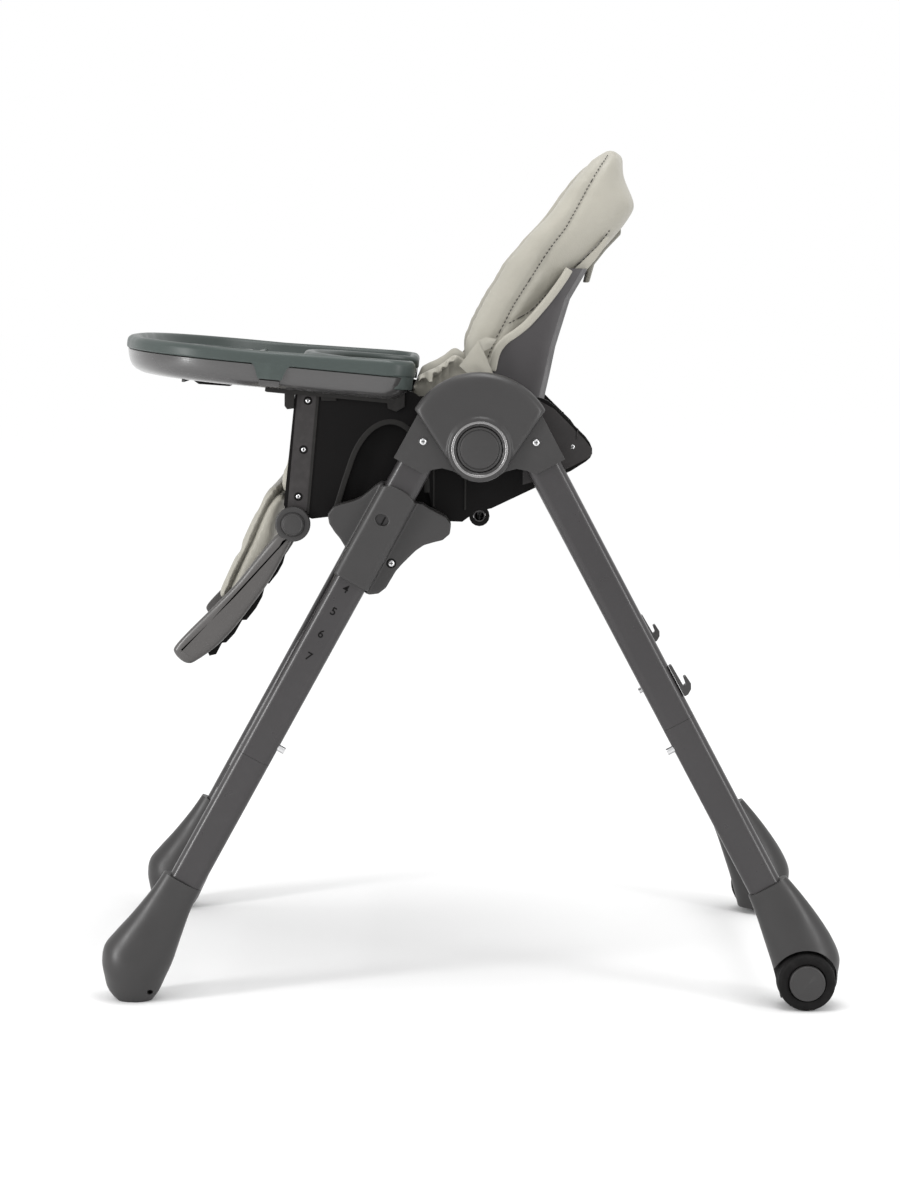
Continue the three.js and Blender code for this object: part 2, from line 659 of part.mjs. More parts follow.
function footrest() {
  const { y, z, disc, pin } = FOOTREST_AXIS;
  const { inner, outer } = ARM;
  const arms = [[inner, outer], [-outer, -inner]].flatMap((x) => [
    sideOn(ARM_OUTLINE, ...x), rod(disc, x[0], x[1], y, z, 20),
  ]);
  const board = sideOn(BOARD_OUTLINE, -inner - 1, inner + 1);
  const ribs = [-150, -50, 50, 150].map((x) => sideOn(RIB_OUTLINE, x - 3, x + 3));
  return cut(join(board, ...arms, ...ribs), rod(pin + GAP, -240, 240, y, z));
}

function footrestPin() {
  const { y, z, pin } = FOOTREST_AXIS;
  const cap = { radius: 12.7, back: ARM.outer + GAP, face: 225.4 };
  return turned([
    [0, 197], [pin, 197], [pin, cap.back], [cap.radius, cap.back], [cap.radius, cap.face - 1.4],
    [cap.radius - 1.2, cap.face - 0.4], [0, cap.face],
  ], y, z);
}

const calfPad = () => sideOn([
  [-242, 561], [-254, 568], [-262, 558], [-276, 530], [-306, 478], [-300, 468], [-293, 458],
  [-267, 489.5], [-249, 516],
], -196, 196);

// ---------------------------------------------------------------- tray

// Plan outline of the tray at one level, drawn in by the given inset.
function trayRing(inset, up) {
  const { half, front, rear, waist, belly, bellyHalf } = TRAY_PLAN;
  const power = 2 / 2.7; // between an ellipse and a rectangle
  const points = [];
  for (let k = 0; k <= 7; k += 1) {
    const turn = (k / 7) * (Math.PI / 2);
    points.push([(half - inset) * Math.sin(turn) ** power,
      waist - (waist - front - inset) * Math.max(Math.cos(turn), 0) ** power]);
  }
  const corner = (x, y, radius, from, steps) => {
    for (let k = 0; k <= steps; k += 1) {
      const turn = from + (k / steps) * (Math.PI / 2);
      points.push([x + radius * Math.cos(turn), y + radius * Math.sin(turn)]);
    }
  };
  corner(half - 35, rear - 35, 35 - inset, 0, 3);
  corner(bellyHalf + 25, rear - 25, 25 - inset, Math.PI / 2, 2);
  const deep = rear - 25 - belly + inset;
  for (let k = 1; k <= 6; k += 1) {
    const turn = (k / 6) * (Math.PI / 2);
    points.push([(bellyHalf + inset) * Math.cos(turn), rear - 25 - deep * Math.sin(turn)]);
  }
  const mirrored = points.slice(1, -1).reverse().map(([x, y]) => [-x, y]);
  const centred = points.map(([x, y]) => [Math.abs(x) < 1e-6 ? 0 : x, y]);
  return [...centred, ...mirrored].map(([x, y]) => new THREE.Vector3(x, y, up));
}

const trayLoft = (levels) => loft(levels.map(([inset, up]) => trayRing(inset, up)), fromAbove);

// Lower tray: a dish with a channel on each side that slides on the armrest rail.
function trayBase() {
  const dish = trayLoft([
    [24, -28], [14, -26.5], [5, -19], [1.5, -9], [0, -2], [1, -GAP], [5, -GAP], [9, -12],
    [20, -24.5],
  ]);
  const sides = [[193, 219], [-219, -193]];
  const ribs = sides.map((x) => box(x, [-12, 138], [-27, -11]));
  const channels = sides.map(([low, high]) => box([low + 3, high - 3], [-9, 200], [-40, -14.2]));
  return cut(join(dish, ...ribs), ...channels);
}

const CUP = { x: -135, y: -95, outer: 41, inner: 37 }; // cup ring, in the tray's frame

// A cone or cylinder that stands on the cup ring's axis.
const upright = (top, foot, low, high) => new THREE.CylinderGeometry(top, foot, high - low, 18)
  .rotateX(Math.PI / 2).translate(CUP.x, CUP.y, (low + high) / 2);

// Upper tray: a rimmed dish with a deep front well, a shallow rear shelf and a cup ring.
function trayTop() {
  const dish = trayLoft([
    [23, -9.7], [20, -4], [17, GAP], [0.5, GAP], [-1.5, 2], [-1.5, 9], [1, 13], [6, 15.5],
    [11, 14], [15, 6], [19, -4], [22, -6.7],
  ]);
  const rearPart = box([-300, 300], [-42, 300], [-20, 20]);
  const shelf = overlap(trayLoft([[20.5, -8], [17, 2]]), rearPart);
  const divider = box([-205, 205], [-48, -41], [-8, 5]);
  const cup = upright(CUP.outer, CUP.outer + 2, -8, 5);
  const cupHollow = upright(CUP.inner, CUP.inner, -6.7, 23.3);
  return cut(join(dish, shelf, divider, cup), cupHollow);
}

const trayReleaseLever = () => sideOn([
  [-112, -29], [-112, -34], [-105, -38], [-66, -37], [-62, -33], [-62, -29],
], -45, 45);

// ---------------------------------------------------------------- assembly

const chair = new THREE.Group();
const leftSide = new THREE.Group();
const rightSide = new THREE.Group();
rightSide.scale.x = -1;
const trayFrame = new THREE.Group();
trayFrame.position.set(0, TRAY.y, TRAY.z);
trayFrame.rotation.x = TRAY.tilt;
chair.add(leftSide, rightSide, trayFrame);

function add(name, geometry, finish, holder = chair) {
  const mesh = new THREE.Mesh(geometry, finish);
  mesh.name = name;
  holder.add(mesh);
}

function addPair(name, geometry, finish) {
  add(`${name}_left`, geometry, finish, leftSide);
  add(`${name}_right`, geometry.clone(), finish, rightSide);
}

addPair('front_upper_leg', frontUpperTube(), FRAME_PAINT);
addPair('front_lower_leg', frontLowerTube(), FRAME_PAINT);
addPair('rear_upper_leg', rearUpperTube(), FRAME_PAINT);
addPair('rear_lower_leg', rearLowerTube(), FRAME_PAINT);
addPair('front_snap_button', snapButton(FRONT_SNAP, FRONT_LEG), STEEL);
addPair('rear_snap_button', snapButton(REAR_SNAP, REAR_LEG), STEEL);
add('front_crossbar', crossbar(FRONT_LEG), FRAME_PAINT);
add('rear_crossbar', crossbar(REAR_LEG), FRAME_PAINT);
addPair('front_foot', frontFoot(), HUB_PLASTIC);
addPair('rear_foot', rearFoot(), HUB_PLASTIC);
addPair('rear_wheel', wheel(), TYRE);
addPair('wheel_axle', wheelAxle(), HUB_PLASTIC);
addPair('front_socket', frontSocket(), HUB_PLASTIC);
addPair('rear_socket', rearSocket(), HUB_PLASTIC);
addPair('hub_cover', hubCover(), HUB_PLASTIC);
addPair('fold_button', foldButton(), HUB_PLASTIC);
addPair('fold_pivot_pin', foldPivotPin(), STEEL);
addPair('height_slider', slider(), HUB_PLASTIC);
addPair('height_latch', heightLatch(), HUB_PLASTIC);
addPair('tray_hook', trayHook(), HUB_PLASTIC);
addPair('seat_side_panel', sidePanel(), SEAT_PLASTIC);
addPair('recline_pin', reclinePin(), STEEL);
addPair('footrest_pin', footrestPin(), HUB_PLASTIC);
addPair('shoulder_strap', shoulderStrap(), WEBBING);
add('seat_bucket', seatBucket(), SEAT_PLASTIC);
add('seat_cross_tube', seatCrossTube(), FRAME_PAINT);
add('backrest_shell', backrestShell(), SHELL_GREY);
add('backrest_pad', backrestPad(), FABRIC);
add('recline_lever', reclineLever(), SEAT_PLASTIC);
add('seat_pad', seatPad(), FABRIC);
add('crotch_strap', crotchStrap(), WEBBING);
add('harness_buckle', harnessBuckle(), SEAT_PLASTIC);
add('buckle_button', buckleButton(), FOOTREST_GREY);
add('footrest', footrest(), FOOTREST_GREY);
add('calf_pad', calfPad(), FABRIC);
add('tray_base', trayBase(), TRAY_GREY, trayFrame);
add('tray_top', trayTop(), TRAY_TEAL, trayFrame);
add('tray_release_lever', trayReleaseLever(), SEAT_PLASTIC, trayFrame);

export default chair;
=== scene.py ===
# Looks of the folding baby high chair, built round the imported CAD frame. Metres, +Z up, -Y is the front.
import json
import math

import bmesh
import bpy
from mathutils import Matrix, Vector
from mathutils.bvhtree import BVHTree
from mathutils.kdtree import KDTree


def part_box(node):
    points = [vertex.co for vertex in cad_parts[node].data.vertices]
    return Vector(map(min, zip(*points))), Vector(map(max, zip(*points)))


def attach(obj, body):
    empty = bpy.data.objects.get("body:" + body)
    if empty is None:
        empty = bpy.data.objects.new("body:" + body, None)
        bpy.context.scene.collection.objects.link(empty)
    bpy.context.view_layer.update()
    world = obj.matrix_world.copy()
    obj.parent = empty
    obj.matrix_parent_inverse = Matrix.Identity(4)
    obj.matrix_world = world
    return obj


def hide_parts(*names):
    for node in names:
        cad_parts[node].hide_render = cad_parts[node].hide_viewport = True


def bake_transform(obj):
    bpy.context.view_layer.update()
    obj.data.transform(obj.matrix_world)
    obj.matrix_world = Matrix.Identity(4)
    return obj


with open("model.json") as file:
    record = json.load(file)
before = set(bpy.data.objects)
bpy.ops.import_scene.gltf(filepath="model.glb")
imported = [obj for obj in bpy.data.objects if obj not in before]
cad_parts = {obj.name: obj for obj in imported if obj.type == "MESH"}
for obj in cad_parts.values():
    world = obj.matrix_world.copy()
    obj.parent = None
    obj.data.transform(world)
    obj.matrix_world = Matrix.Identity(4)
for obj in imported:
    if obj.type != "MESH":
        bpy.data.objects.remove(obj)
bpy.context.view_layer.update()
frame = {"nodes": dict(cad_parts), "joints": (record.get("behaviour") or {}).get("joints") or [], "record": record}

MM = 0.001
BODIES = frame["record"]["behaviour"]["bodies"]
BODY_OF = {node: body for body, members in BODIES.items() for node in members}
SLOT_OF = {part["node"]: part["material_slot"] for part in frame["record"]["subparts"]}
JOINTS = {joint["name"]: joint for joint in frame["joints"]}
SIDES = {"left": 1, "right": -1}

# ------------------------------------------------------------------ places taken from the frame

HUB = Vector(JOINTS["frame_fold"]["pos_m"])
DOWN_LEG = Vector(JOINTS["seat_height"]["axis"]).normalized()
OUT_LEG = Vector((0, DOWN_LEG.z, -DOWN_LEG.y))
LEG_OFFSET = 0.056  # fold axis to a leg's centre line
LEG_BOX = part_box("front_upper_leg_left")
LEG_X = (LEG_BOX[0].x + LEG_BOX[1].x) / 2
TUBE_FACE = LEG_BOX[1].x
SOCKET_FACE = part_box("front_socket_left")[1].x
PANEL_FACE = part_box("seat_side_panel_left")[1].x
SLIDER_WING = 0.247


def leg_point(x, out, along, rear=False):
    """A point given across and down a leg, from the foot of the perpendicular from the fold axis."""
    place = HUB + OUT_LEG * (LEG_OFFSET + out) + DOWN_LEG * along
    place.x = x
    if rear:
        place.y = 2 * HUB.y - place.y
    return place


# ------------------------------------------------------------------ materials

class Nodes:
    """Short helper for writing a node tree."""

    def __init__(self, name):
        self.material = bpy.data.materials.new(name)
        self.material.use_nodes = True
        self.tree = self.material.node_tree
        self.shader = self.tree.nodes["Principled BSDF"]
        self.place = self.add("ShaderNodeTexCoord").outputs["Object"]

    def add(self, kind, inputs=None, **settings):
        node = self.tree.nodes.new(kind)
        for key, value in settings.items():
            setattr(node, key, value)
        for key, value in (inputs or {}).items():
            self.feed(node.inputs[key], value)
        return node

    def feed(self, socket, value):
        if isinstance(value, bpy.types.NodeSocket):
            self.tree.links.new(value, socket)
        else:
            socket.default_value = value

    def noise(self, scale, detail=3.0, roughness=0.55):
        inputs = {"Vector": self.place, "Scale": scale, "Detail": detail, "Roughness": roughness}
        return self.add("ShaderNodeTexNoise", inputs).outputs["Fac"]

    def span(self, value, low, high, to_low=0.0, to_high=1.0):
        inputs = {"Value": value, "From Min": low, "From Max": high, "To Min": to_low, "To Max": to_high}
        return self.add("ShaderNodeMapRange", inputs).outputs["Result"]

    def patchy(self, scale, low, high):
        """A value that wanders between two limits."""
        return self.span(self.noise(scale), 0.3, 0.7, low, high)

    def math(self, operation, first, second=0.5):
        node = self.add("ShaderNodeMath", operation=operation)
        self.feed(node.inputs[0], first)
        self.feed(node.inputs[1], second)
        return node.outputs[0]

    def mix(self, factor, first, second, blend="MIX"):
        node = self.add("ShaderNodeMix", data_type="RGBA", blend_type=blend)
        for socket, value in zip((0, 6, 7), (factor, first, second)):
            self.feed(node.inputs[socket], value)
        return node.outputs[2]

    def bump(self, height, strength, distance, under=None):
        inputs = {"Height": height, "Strength": strength, "Distance": distance}
        if under is not None:
            inputs["Normal"] = under
        return self.add("ShaderNodeBump", inputs).outputs["Normal"]

    def finish(self, color, roughness, normal=None, **fixed):
        self.feed(self.shader.inputs["Base Color"], color)
        self.feed(self.shader.inputs["Roughness"], roughness)
        if normal is not None:
            self.feed(self.shader.inputs["Normal"], normal)
        for key, value in fixed.items():
            self.shader.inputs[key.replace("_", " ")].default_value = value
        return self.material


def rgb(red, green, blue):
    """sRGB 0..255 to a linear colour."""
    def linear(value):
        share = value / 255
        return share / 12.92 if share <= 0.04045 else ((share + 0.055) / 1.055) ** 2.4
    return linear(red), linear(green), linear(blue), 1.0


def scaled(color, factor):
    return tuple(min(1.0, channel * factor) for channel in color[:3]) + (1.0,)


def painted_edge_highlight(nodes, color, lift):
    """Lightens convex edges a little, broken up by noise: a painted edge highlight."""
    edge = nodes.span(nodes.add("ShaderNodeNewGeometry").outputs["Pointiness"], 0.53, 0.62)
    broken = nodes.math("MULTIPLY", edge, nodes.span(nodes.noise(90), 0.45, 0.7))
    return nodes.mix(broken, color, scaled(color, lift))


def moulded_plastic(name, color, roughness, grain, spread=0.08, coat=0.0, specular=0.25):
    """Moulded plastic: fine spark-eroded grain, faint flow mottling and a painted highlight on convex edges."""
    nodes = Nodes(name)
    mottled = nodes.mix(nodes.span(nodes.noise(14), 0.35, 0.65), scaled(color, 0.93), scaled(color, 1.06))
    # half of the colour carries the painted highlight on convex edges
    tint = nodes.mix(0.5, mottled, painted_edge_highlight(nodes, color, 1.5))
    rough = nodes.patchy(30, roughness - spread, roughness + spread)
    fine = nodes.bump(nodes.noise(1400, 2.0), grain, 0.0002)
    normal = nodes.bump(nodes.noise(5, 1.0), 0.05, 0.002, fine)
    return nodes.finish(tint, rough, normal,
                        Coat_Weight=coat, Coat_Roughness=0.12, Specular_IOR_Level=specular)


def powder_coat(name, color):
    """Powder-coated steel tube: slight orange peel under a satin gloss."""
    nodes = Nodes(name)
    # convex edges lightened: a painted highlight
    edge_highlighted = painted_edge_highlight(nodes, color, 1.35)
    tint = nodes.mix(nodes.span(nodes.noise(9), 0.35, 0.65), scaled(color, 0.95), edge_highlighted)
    peel = nodes.bump(nodes.noise(420, 1.5), 0.10, 0.0004)
    return nodes.finish(tint, nodes.patchy(55, 0.27, 0.36), peel,
                        Metallic=0.1, Coat_Weight=0.2, Coat_Roughness=0.2, Specular_IOR_Level=0.4)


def coated_fabric(name, color):
    """Soft leatherette: pebble grain, pores, mottling and slack puckers."""
    nodes = Nodes(name)
    cells = {"Vector": nodes.place, "Scale": 620}
    pebble = nodes.add("ShaderNodeTexVoronoi", cells, feature="F1").outputs["Distance"]
    grain = nodes.bump(pebble, 0.16, 0.0005)
    soft = nodes.bump(nodes.noise(26, 3.0), 0.16, 0.006, grain)
    creased = nodes.bump(nodes.noise(75, 2.0, 0.7), 0.07, 0.003, soft)
    tint = nodes.mix(nodes.span(nodes.noise(11), 0.3, 0.7), scaled(color, 0.95), scaled(color, 1.04))
    deep = nodes.mix(nodes.span(pebble, 0.0, 0.25), scaled(color, 0.86), tint)
    return nodes.finish(deep, nodes.patchy(140, 0.52, 0.66), creased, Sheen_Weight=0.12, Sheen_Roughness=0.5)


def woven_webbing(name, color):
    """Webbing: a herringbone of diagonal yarns."""
    nodes = Nodes(name)
    yarns = [nodes.add("ShaderNodeTexWave", {"Vector": nodes.place, "Scale": scale, "Distortion": 0.3},
                       bands_direction=way).outputs["Fac"] for way, scale in (("X", 180.0), ("Z", 230.0))]
    weave = nodes.math("MAXIMUM", *yarns)
    tint = nodes.mix(nodes.span(weave, 0.2, 0.9), scaled(color, 0.62), scaled(color, 1.1))
    return nodes.finish(tint, 0.8, nodes.bump(weave, 0.5, 0.0004), Sheen_Weight=0.25)


def rubber(name, color):
    nodes = Nodes(name)
    dust = nodes.mix(nodes.span(nodes.noise(60), 0.5, 0.75), color, scaled(color, 2.0))
    grain = nodes.bump(nodes.noise(900), 0.2, 0.0003)
    return nodes.finish(dust, nodes.patchy(200, 0.55, 0.72), grain, Specular_IOR_Level=0.15)


def zinc(name, color):
    nodes = Nodes(name)
    turned = nodes.noise(700, 1.0)
    rough = nodes.span(turned, 0.3, 0.7, 0.2, 0.38)
    return nodes.finish(color, rough, nodes.bump(turned, 0.08, 0.0002), Metallic=1.0)


def thread(name, color):
    nodes = Nodes(name)
    twist = nodes.add("ShaderNodeTexWave", {"Vector": nodes.place, "Scale": 420.0},
                      bands_direction="DIAGONAL").outputs["Fac"]
    return nodes.finish(nodes.mix(twist, scaled(color, 0.7), color), 0.85, nodes.bump(twist, 0.5, 0.0003))


PAD_TONE = rgb(147, 144, 134)
MATERIALS = {
    "frame_paint": powder_coat("frame_paint", rgb(47, 45, 46)),
    "hub_plastic": moulded_plastic("hub_plastic", rgb(49, 48, 48), 0.38, 0.10, specular=0.35),
    "seat_plastic": moulded_plastic("seat_plastic", rgb(14, 13, 13), 0.5, 0.14, specular=0.08),
    "shell_plastic": moulded_plastic("shell_plastic", rgb(60, 58, 59), 0.36, 0.08),
    "footrest_plastic": moulded_plastic("footrest_plastic", rgb(70, 68, 67), 0.3, 0.08, specular=0.45),
    "tray_base_plastic": moulded_plastic("tray_base_plastic", rgb(58, 57, 57), 0.22, 0.02, 0.04, 0.5, 0.5),
    "tray_top_plastic": moulded_plastic("tray_top_plastic", rgb(60, 67, 65), 0.36, 0.08),
    "pad_fabric": coated_fabric("pad_fabric", PAD_TONE),
    "webbing": woven_webbing("webbing", rgb(132, 129, 118)),
    "tyre": rubber("tyre", rgb(14, 13, 13)),
    "steel": zinc("steel", rgb(205, 205, 206)),
}
PANEL_LIGHT = moulded_plastic("panel_light", rgb(47, 45, 45), 0.42, 0.10, specular=0.2)
PANEL_GREY = moulded_plastic("panel_grey", rgb(31, 30, 29), 0.45, 0.12, specular=0.15)
# bright metal for the hub collar: a painted highlight on a ring that is really the hub's gunmetal
COLLAR_PAINTED_HIGHLIGHT = zinc("collar_painted_highlight", rgb(140, 139, 139))
TAB_GREY = coated_fabric("tab_grey", rgb(118, 116, 108))
# seam thread: dark partly as the thread's own colour, partly as painted shade of the seam's crease
SEAM_THREAD_AND_SHADE = thread("seam_thread_and_shade", rgb(62, 60, 56))
PALE_THREAD = thread("pale_thread", rgb(160, 157, 146))
# near-black: the printed height numbers, and painted shade in the screws' cross recesses
INK_AND_RECESS_SHADE = moulded_plastic("ink_and_recess_shade", rgb(12, 11, 11), 0.5, 0.05, specular=0.1)

# ------------------------------------------------------------------ mesh helpers

def link(name, mesh):
    piece = bpy.data.objects.new(name, mesh)
    bpy.context.scene.collection.objects.link(piece)
    return piece


def mesh_from(bm, name):
    bmesh.ops.recalc_face_normals(bm, faces=bm.faces)
    mesh = bpy.data.meshes.new(name)
    bm.to_mesh(mesh)
    bm.free()
    return mesh


def apply_modifiers(piece):
    bpy.context.view_layer.update()
    graph = bpy.context.evaluated_depsgraph_get()
    mesh = bpy.data.meshes.new_from_object(piece.evaluated_get(graph))
    piece.modifiers.clear()
    piece.data = mesh
    return piece


def modify(piece, kind, **settings):
    """Adds a modifier, to be applied later."""
    modifier = piece.modifiers.new(kind.lower(), kind)
    for key, value in settings.items():
        setattr(modifier, key, value)


def soften(piece, bevel=0.0, angle=40, segments=2):
    """Rounds hard edges, then shades smooth with flat faces kept flat."""
    if bevel:
        modify(piece, "BEVEL", width=bevel, segments=segments, limit_method="ANGLE",
               angle_limit=math.radians(35))
        apply_modifiers(piece)
    piece.data.shade_smooth()
    piece.data.set_sharp_from_angle(angle=math.radians(angle))
    modify(piece, "WEIGHTED_NORMAL", keep_sharp=True)
    return apply_modifiers(piece)


def melted(piece, voxel, passes):
    """Melts a piece into even small faces, then relaxes them."""
    modify(piece, "REMESH", mode="VOXEL", voxel_size=voxel)
    modify(piece, "SMOOTH", factor=0.5, iterations=passes)
    return apply_modifiers(piece)


def rounded(piece):
    """Subdivides a soft piece once."""
    modify(piece, "SUBSURF", levels=1)
    apply_modifiers(piece).data.shade_smooth()
    return piece


def dress(piece, slot, body=None, replaced=(), material=None):
    """Gives a piece its material, from its slot unless one is given, hangs it on its body and hides the CAD nodes
    that it stands for.
    """
    piece.data.materials.clear()
    piece.data.materials.append(material or MATERIALS[slot])
    if body is not None:
        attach(piece, body)
    if replaced:
        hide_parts(*replaced)
    return piece


def cad_copy(node, name):
    """A welded copy of a CAD node, with its flat faces joined up."""
    bm = bmesh.new()
    bm.from_mesh(frame["nodes"][node].data)
    bmesh.ops.remove_doubles(bm, verts=bm.verts, dist=2e-5)
    bmesh.ops.dissolve_limit(bm, angle_limit=math.radians(1.5), verts=bm.verts, edges=bm.edges)
    return link(name, mesh_from(bm, name))


def refined(node, bevel, angle=40):
    """A CAD node with rounded edges and its finish."""
    piece = soften(cad_copy(node, node + "_moulding"), bevel, angle)
    return dress(piece, SLOT_OF[node], BODY_OF[node], [node])


def remeshed(node, voxel, passes):
    """A CAD node melted into one smooth moulding."""
    piece = melted(cad_copy(node, node + "_moulding"), voxel, passes)
    piece.data.shade_smooth()
    return dress(piece, SLOT_OF[node], BODY_OF[node], [node])


def loft(name, rings, closed=False):
    """Skins rings of points; the ends are capped unless closed."""
    bm = bmesh.new()
    levels = [[bm.verts.new(point) for point in ring] for ring in rings]
    pairs = list(zip(levels, levels[1:]))
    if closed:
        pairs.append((levels[-1], levels[0]))
    for low, high in pairs:
        for k in range(len(low)):
            after = (k + 1) % len(low)
            bm.faces.new((low[k], low[after], high[after], high[k]))
    if not closed:
        caps = [bm.faces.new(levels[0]), bm.faces.new(levels[-1])]
        bm.normal_update()
        bmesh.ops.triangulate(bm, faces=caps)
    return link(name, mesh_from(bm, name))


def turns(count):
    return [2 * math.pi * k / count for k in range(count)]


def mm(x, y, z):
    """A point given in millimetres."""
    return x * MM, y * MM, z * MM


def turned(name, profile, center, side=1, steps=48, closed=False):
    """A piece turned about an axis along x; the profile is (radius, x) in millimetres, from axis to axis."""
    rings = []
    for radius, x in profile:
        arm = max(radius, 0.02) * MM
        rings.append([(side * x * MM, center.y + arm * math.cos(turn), center.z + arm * math.sin(turn))
                      for turn in turns(steps)])
    return loft(name, rings, closed)


def smooth_rows(rows, steps):
    """A Catmull-Rom curve through rows of numbers, such as points or stations."""
    line = []
    for k in range(len(rows) - 1):
        first, last = rows[k], rows[k + 1]
        before = rows[k - 1] if k else first
        after = rows[k + 2] if k + 2 < len(rows) else last
        for s in range(steps):
            t = s / steps
            line.append(tuple(0.5 * (2 * b + (c - a) * t + (2 * a - 5 * b + 4 * c - d) * t ** 2
                                     + (3 * b - a - 3 * c + d) * t ** 3)
                              for a, b, c, d in zip(before, first, last, after)))
    return line + [tuple(rows[-1])]


def smooth_ring(rows, steps):
    """The same curve, closed."""
    return smooth_rows(rows + rows[:1], steps)[:-1]


# ------------------------------------------------------------------ camera, lights and floor

CAMERA = {"place": Vector((3.4136, -0.0275, 0.8379)), "tilt": 6.488, "roll": 0.5, "lens": 82.31, "film": 36.0}


def add_camera():
    tilt, roll = math.radians(CAMERA["tilt"]), math.radians(CAMERA["roll"])
    forward = Vector((-math.cos(tilt), 0, -math.sin(tilt)))
    right, up = Vector((0, 1, 0)), Vector((-math.sin(tilt), 0, math.cos(tilt)))
    right, up = (right * math.cos(roll) + up * math.sin(roll), up * math.cos(roll) - right * math.sin(roll))
    data = bpy.data.cameras.new("camera")
    data.sensor_fit = "VERTICAL"
    data.sensor_height = CAMERA["film"]
    data.lens = CAMERA["lens"]
    camera = bpy.data.objects.new("camera", data)
    bpy.context.scene.collection.objects.link(camera)
    camera.matrix_world = Matrix.LocRotScale(
        CAMERA["place"], Matrix((right, up, -forward)).transposed(), None)
    bpy.context.scene.camera = camera


def add_light(name, place, aim, size, power):
    data = bpy.data.lights.new(name, "AREA")
    data.shape = "RECTANGLE"
    data.size, data.size_y = size
    data.energy = power
    light = bpy.data.objects.new(name, data)
    bpy.context.scene.collection.objects.link(light)
    light.location = place
    light.rotation_euler = (Vector(aim) - Vector(place)).to_track_quat("-Z", "Y").to_euler()


def add_studio():
    world = bpy.data.worlds.new("studio")
    bpy.context.scene.world = world
    world.use_nodes = True
    world.node_tree.nodes["Background"].inputs["Color"].default_value = (1, 1, 1, 1)
    world.node_tree.nodes["Background"].inputs["Strength"].default_value = 1.0
    add_light("overhead", (0.3, 0.1, 2.6), (0.1, 0, 0.4), (0.8, 1.6), 24)
    add_light("front_strip", (1.5, -2.4, 0.9), (0, -0.1, 0.5), (0.35, 2.2), 52)
    add_light("rear_strip", (1.7, 2.2, 0.9), (0, 0.1, 0.5), (0.35, 2.2), 26)
    bm = bmesh.new()
    bmesh.ops.create_grid(bm, x_segments=1, y_segments=1, size=40)
    floor = link("floor", mesh_from(bm, "floor"))
    nodes = Nodes("studio_floor")
    near = nodes.mix(nodes.patchy(0.7, 0, 1), (0.85, 0.85, 0.85, 1), (0.87, 0.87, 0.87, 1))
    away = nodes.add("ShaderNodeVectorMath", {0: nodes.place}, operation="LENGTH").outputs["Value"]
    white = nodes.mix(nodes.span(away, 0.7, 2.4), near, (1, 1, 1, 1))
    floor.data.materials.append(nodes.finish(white, 0.8, Specular_IOR_Level=0.0))
    bpy.context.scene.view_settings.view_transform = "Standard"


add_camera()
add_studio()

# ------------------------------------------------------------------ frame, hub and small mouldings

EDGE_RADII = {
    "front_upper_leg": 0.0004, "front_lower_leg": 0.0004, "rear_upper_leg": 0.0004, "rear_lower_leg": 0.0004,
    "front_snap_button": 0.0006, "rear_snap_button": 0.0006, "front_socket": 0.0018, "rear_socket": 0.0018,
    "fold_pivot_pin": 0.0005, "height_latch": 0.0008, "tray_hook": 0.001, "seat_side_panel": 0.0014,
    "recline_pin": 0.0005,
}
SINGLE_RADII = {
    "front_crossbar": 0.0006, "rear_crossbar": 0.0006, "seat_bucket": 0.0016, "seat_cross_tube": 0.0004,
    "harness_buckle": 0.0028, "buckle_button": 0.001, "tray_release_lever": 0.0018,
    "backrest_shell": 0.0016,
}


def make_mouldings():
    for node, bevel in EDGE_RADII.items():
        for side in SIDES:
            refined(f"{node}_{side}", bevel, 50)
    for node, bevel in SINGLE_RADII.items():
        refined(node, bevel, 50)
    lever = soften(cad_copy("recline_lever", "recline_lever_strap"), 0.0018, 50)
    dress(lever, SLOT_OF["recline_lever"], "recline_lever", ["recline_lever"], TAB_GREY)
    for side in SIDES:
        round_sleeve_top(remeshed(f"height_slider_{side}", 0.0012, 6))
        dome_rim(remeshed(f"hub_cover_{side}", 0.0012, 8))


def dome_rim(cover, wide=0.021, deep=0.0085):
    """Draws the rim of a hub cover back, so that its face is a shallow dome."""
    low, high = cover_span(cover)
    reach = max(vertex.co.z for vertex in cover.data.vertices) - HUB.z
    for vertex in cover.data.vertices:
        radius = math.hypot(vertex.co.y - HUB.y, vertex.co.z - HUB.z)
        share = min(1, max(0, (radius - reach + wide) / wide))
        front = min(1, max(0, (abs(vertex.co.x) - low) / (high - low)))
        vertex.co.x -= math.copysign(deep * (1 - math.sqrt(1 - share ** 2)) * front, vertex.co.x)


def cover_span(cover):
    """The range of |x| in which the rim of a hub cover is drawn back."""
    face = max(abs(vertex.co.x) for vertex in cover.data.vertices) - 0.0036
    return face - 0.012, face


def round_sleeve_top(slider, drop=0.008, half=0.021, reach=0.028):
    """Turns the straight top edge of the slider's sleeve into an arch."""
    top = min((vertex.co - HUB).dot(DOWN_LEG) for vertex in slider.data.vertices)
    for vertex in slider.data.vertices:
        along = (vertex.co - HUB).dot(DOWN_LEG) - top
        across = (vertex.co - HUB).dot(OUT_LEG) - LEG_OFFSET
        if along < reach:
            share = abs(across) / half
            share = share ** 2.5 if share < 1 else max(0, 1 - (share - 1) / 0.4)
            vertex.co += DOWN_LEG * drop * share * (1 - along / reach)


def outer_face(node):
    """How far a node reaches from the middle plane, in millimetres."""
    return max(abs(corner.x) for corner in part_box(node)) / MM


def make_fold_button(side, sign):
    face = outer_face(f"fold_button_{side}")
    button = turned(f"fold_button_{side}_cap", [
        (0, 255.8), (25.9, 255.8), (25.9, face - 3.4), (25.5, face - 2.6), (24.6, face - 2.2),
        (23.6, face - 2.3), (23.1, face - 2.9), (22.6, face - 3.0), (22.1, face - 2.2), (21.2, face - 1.6),
        (16, face - 0.8), (8, face - 0.2), (0, face),
    ], HUB, sign, 72)
    dress(soften(button, angle=50), "hub_plastic", f"fold_button_{side}", [f"fold_button_{side}"])


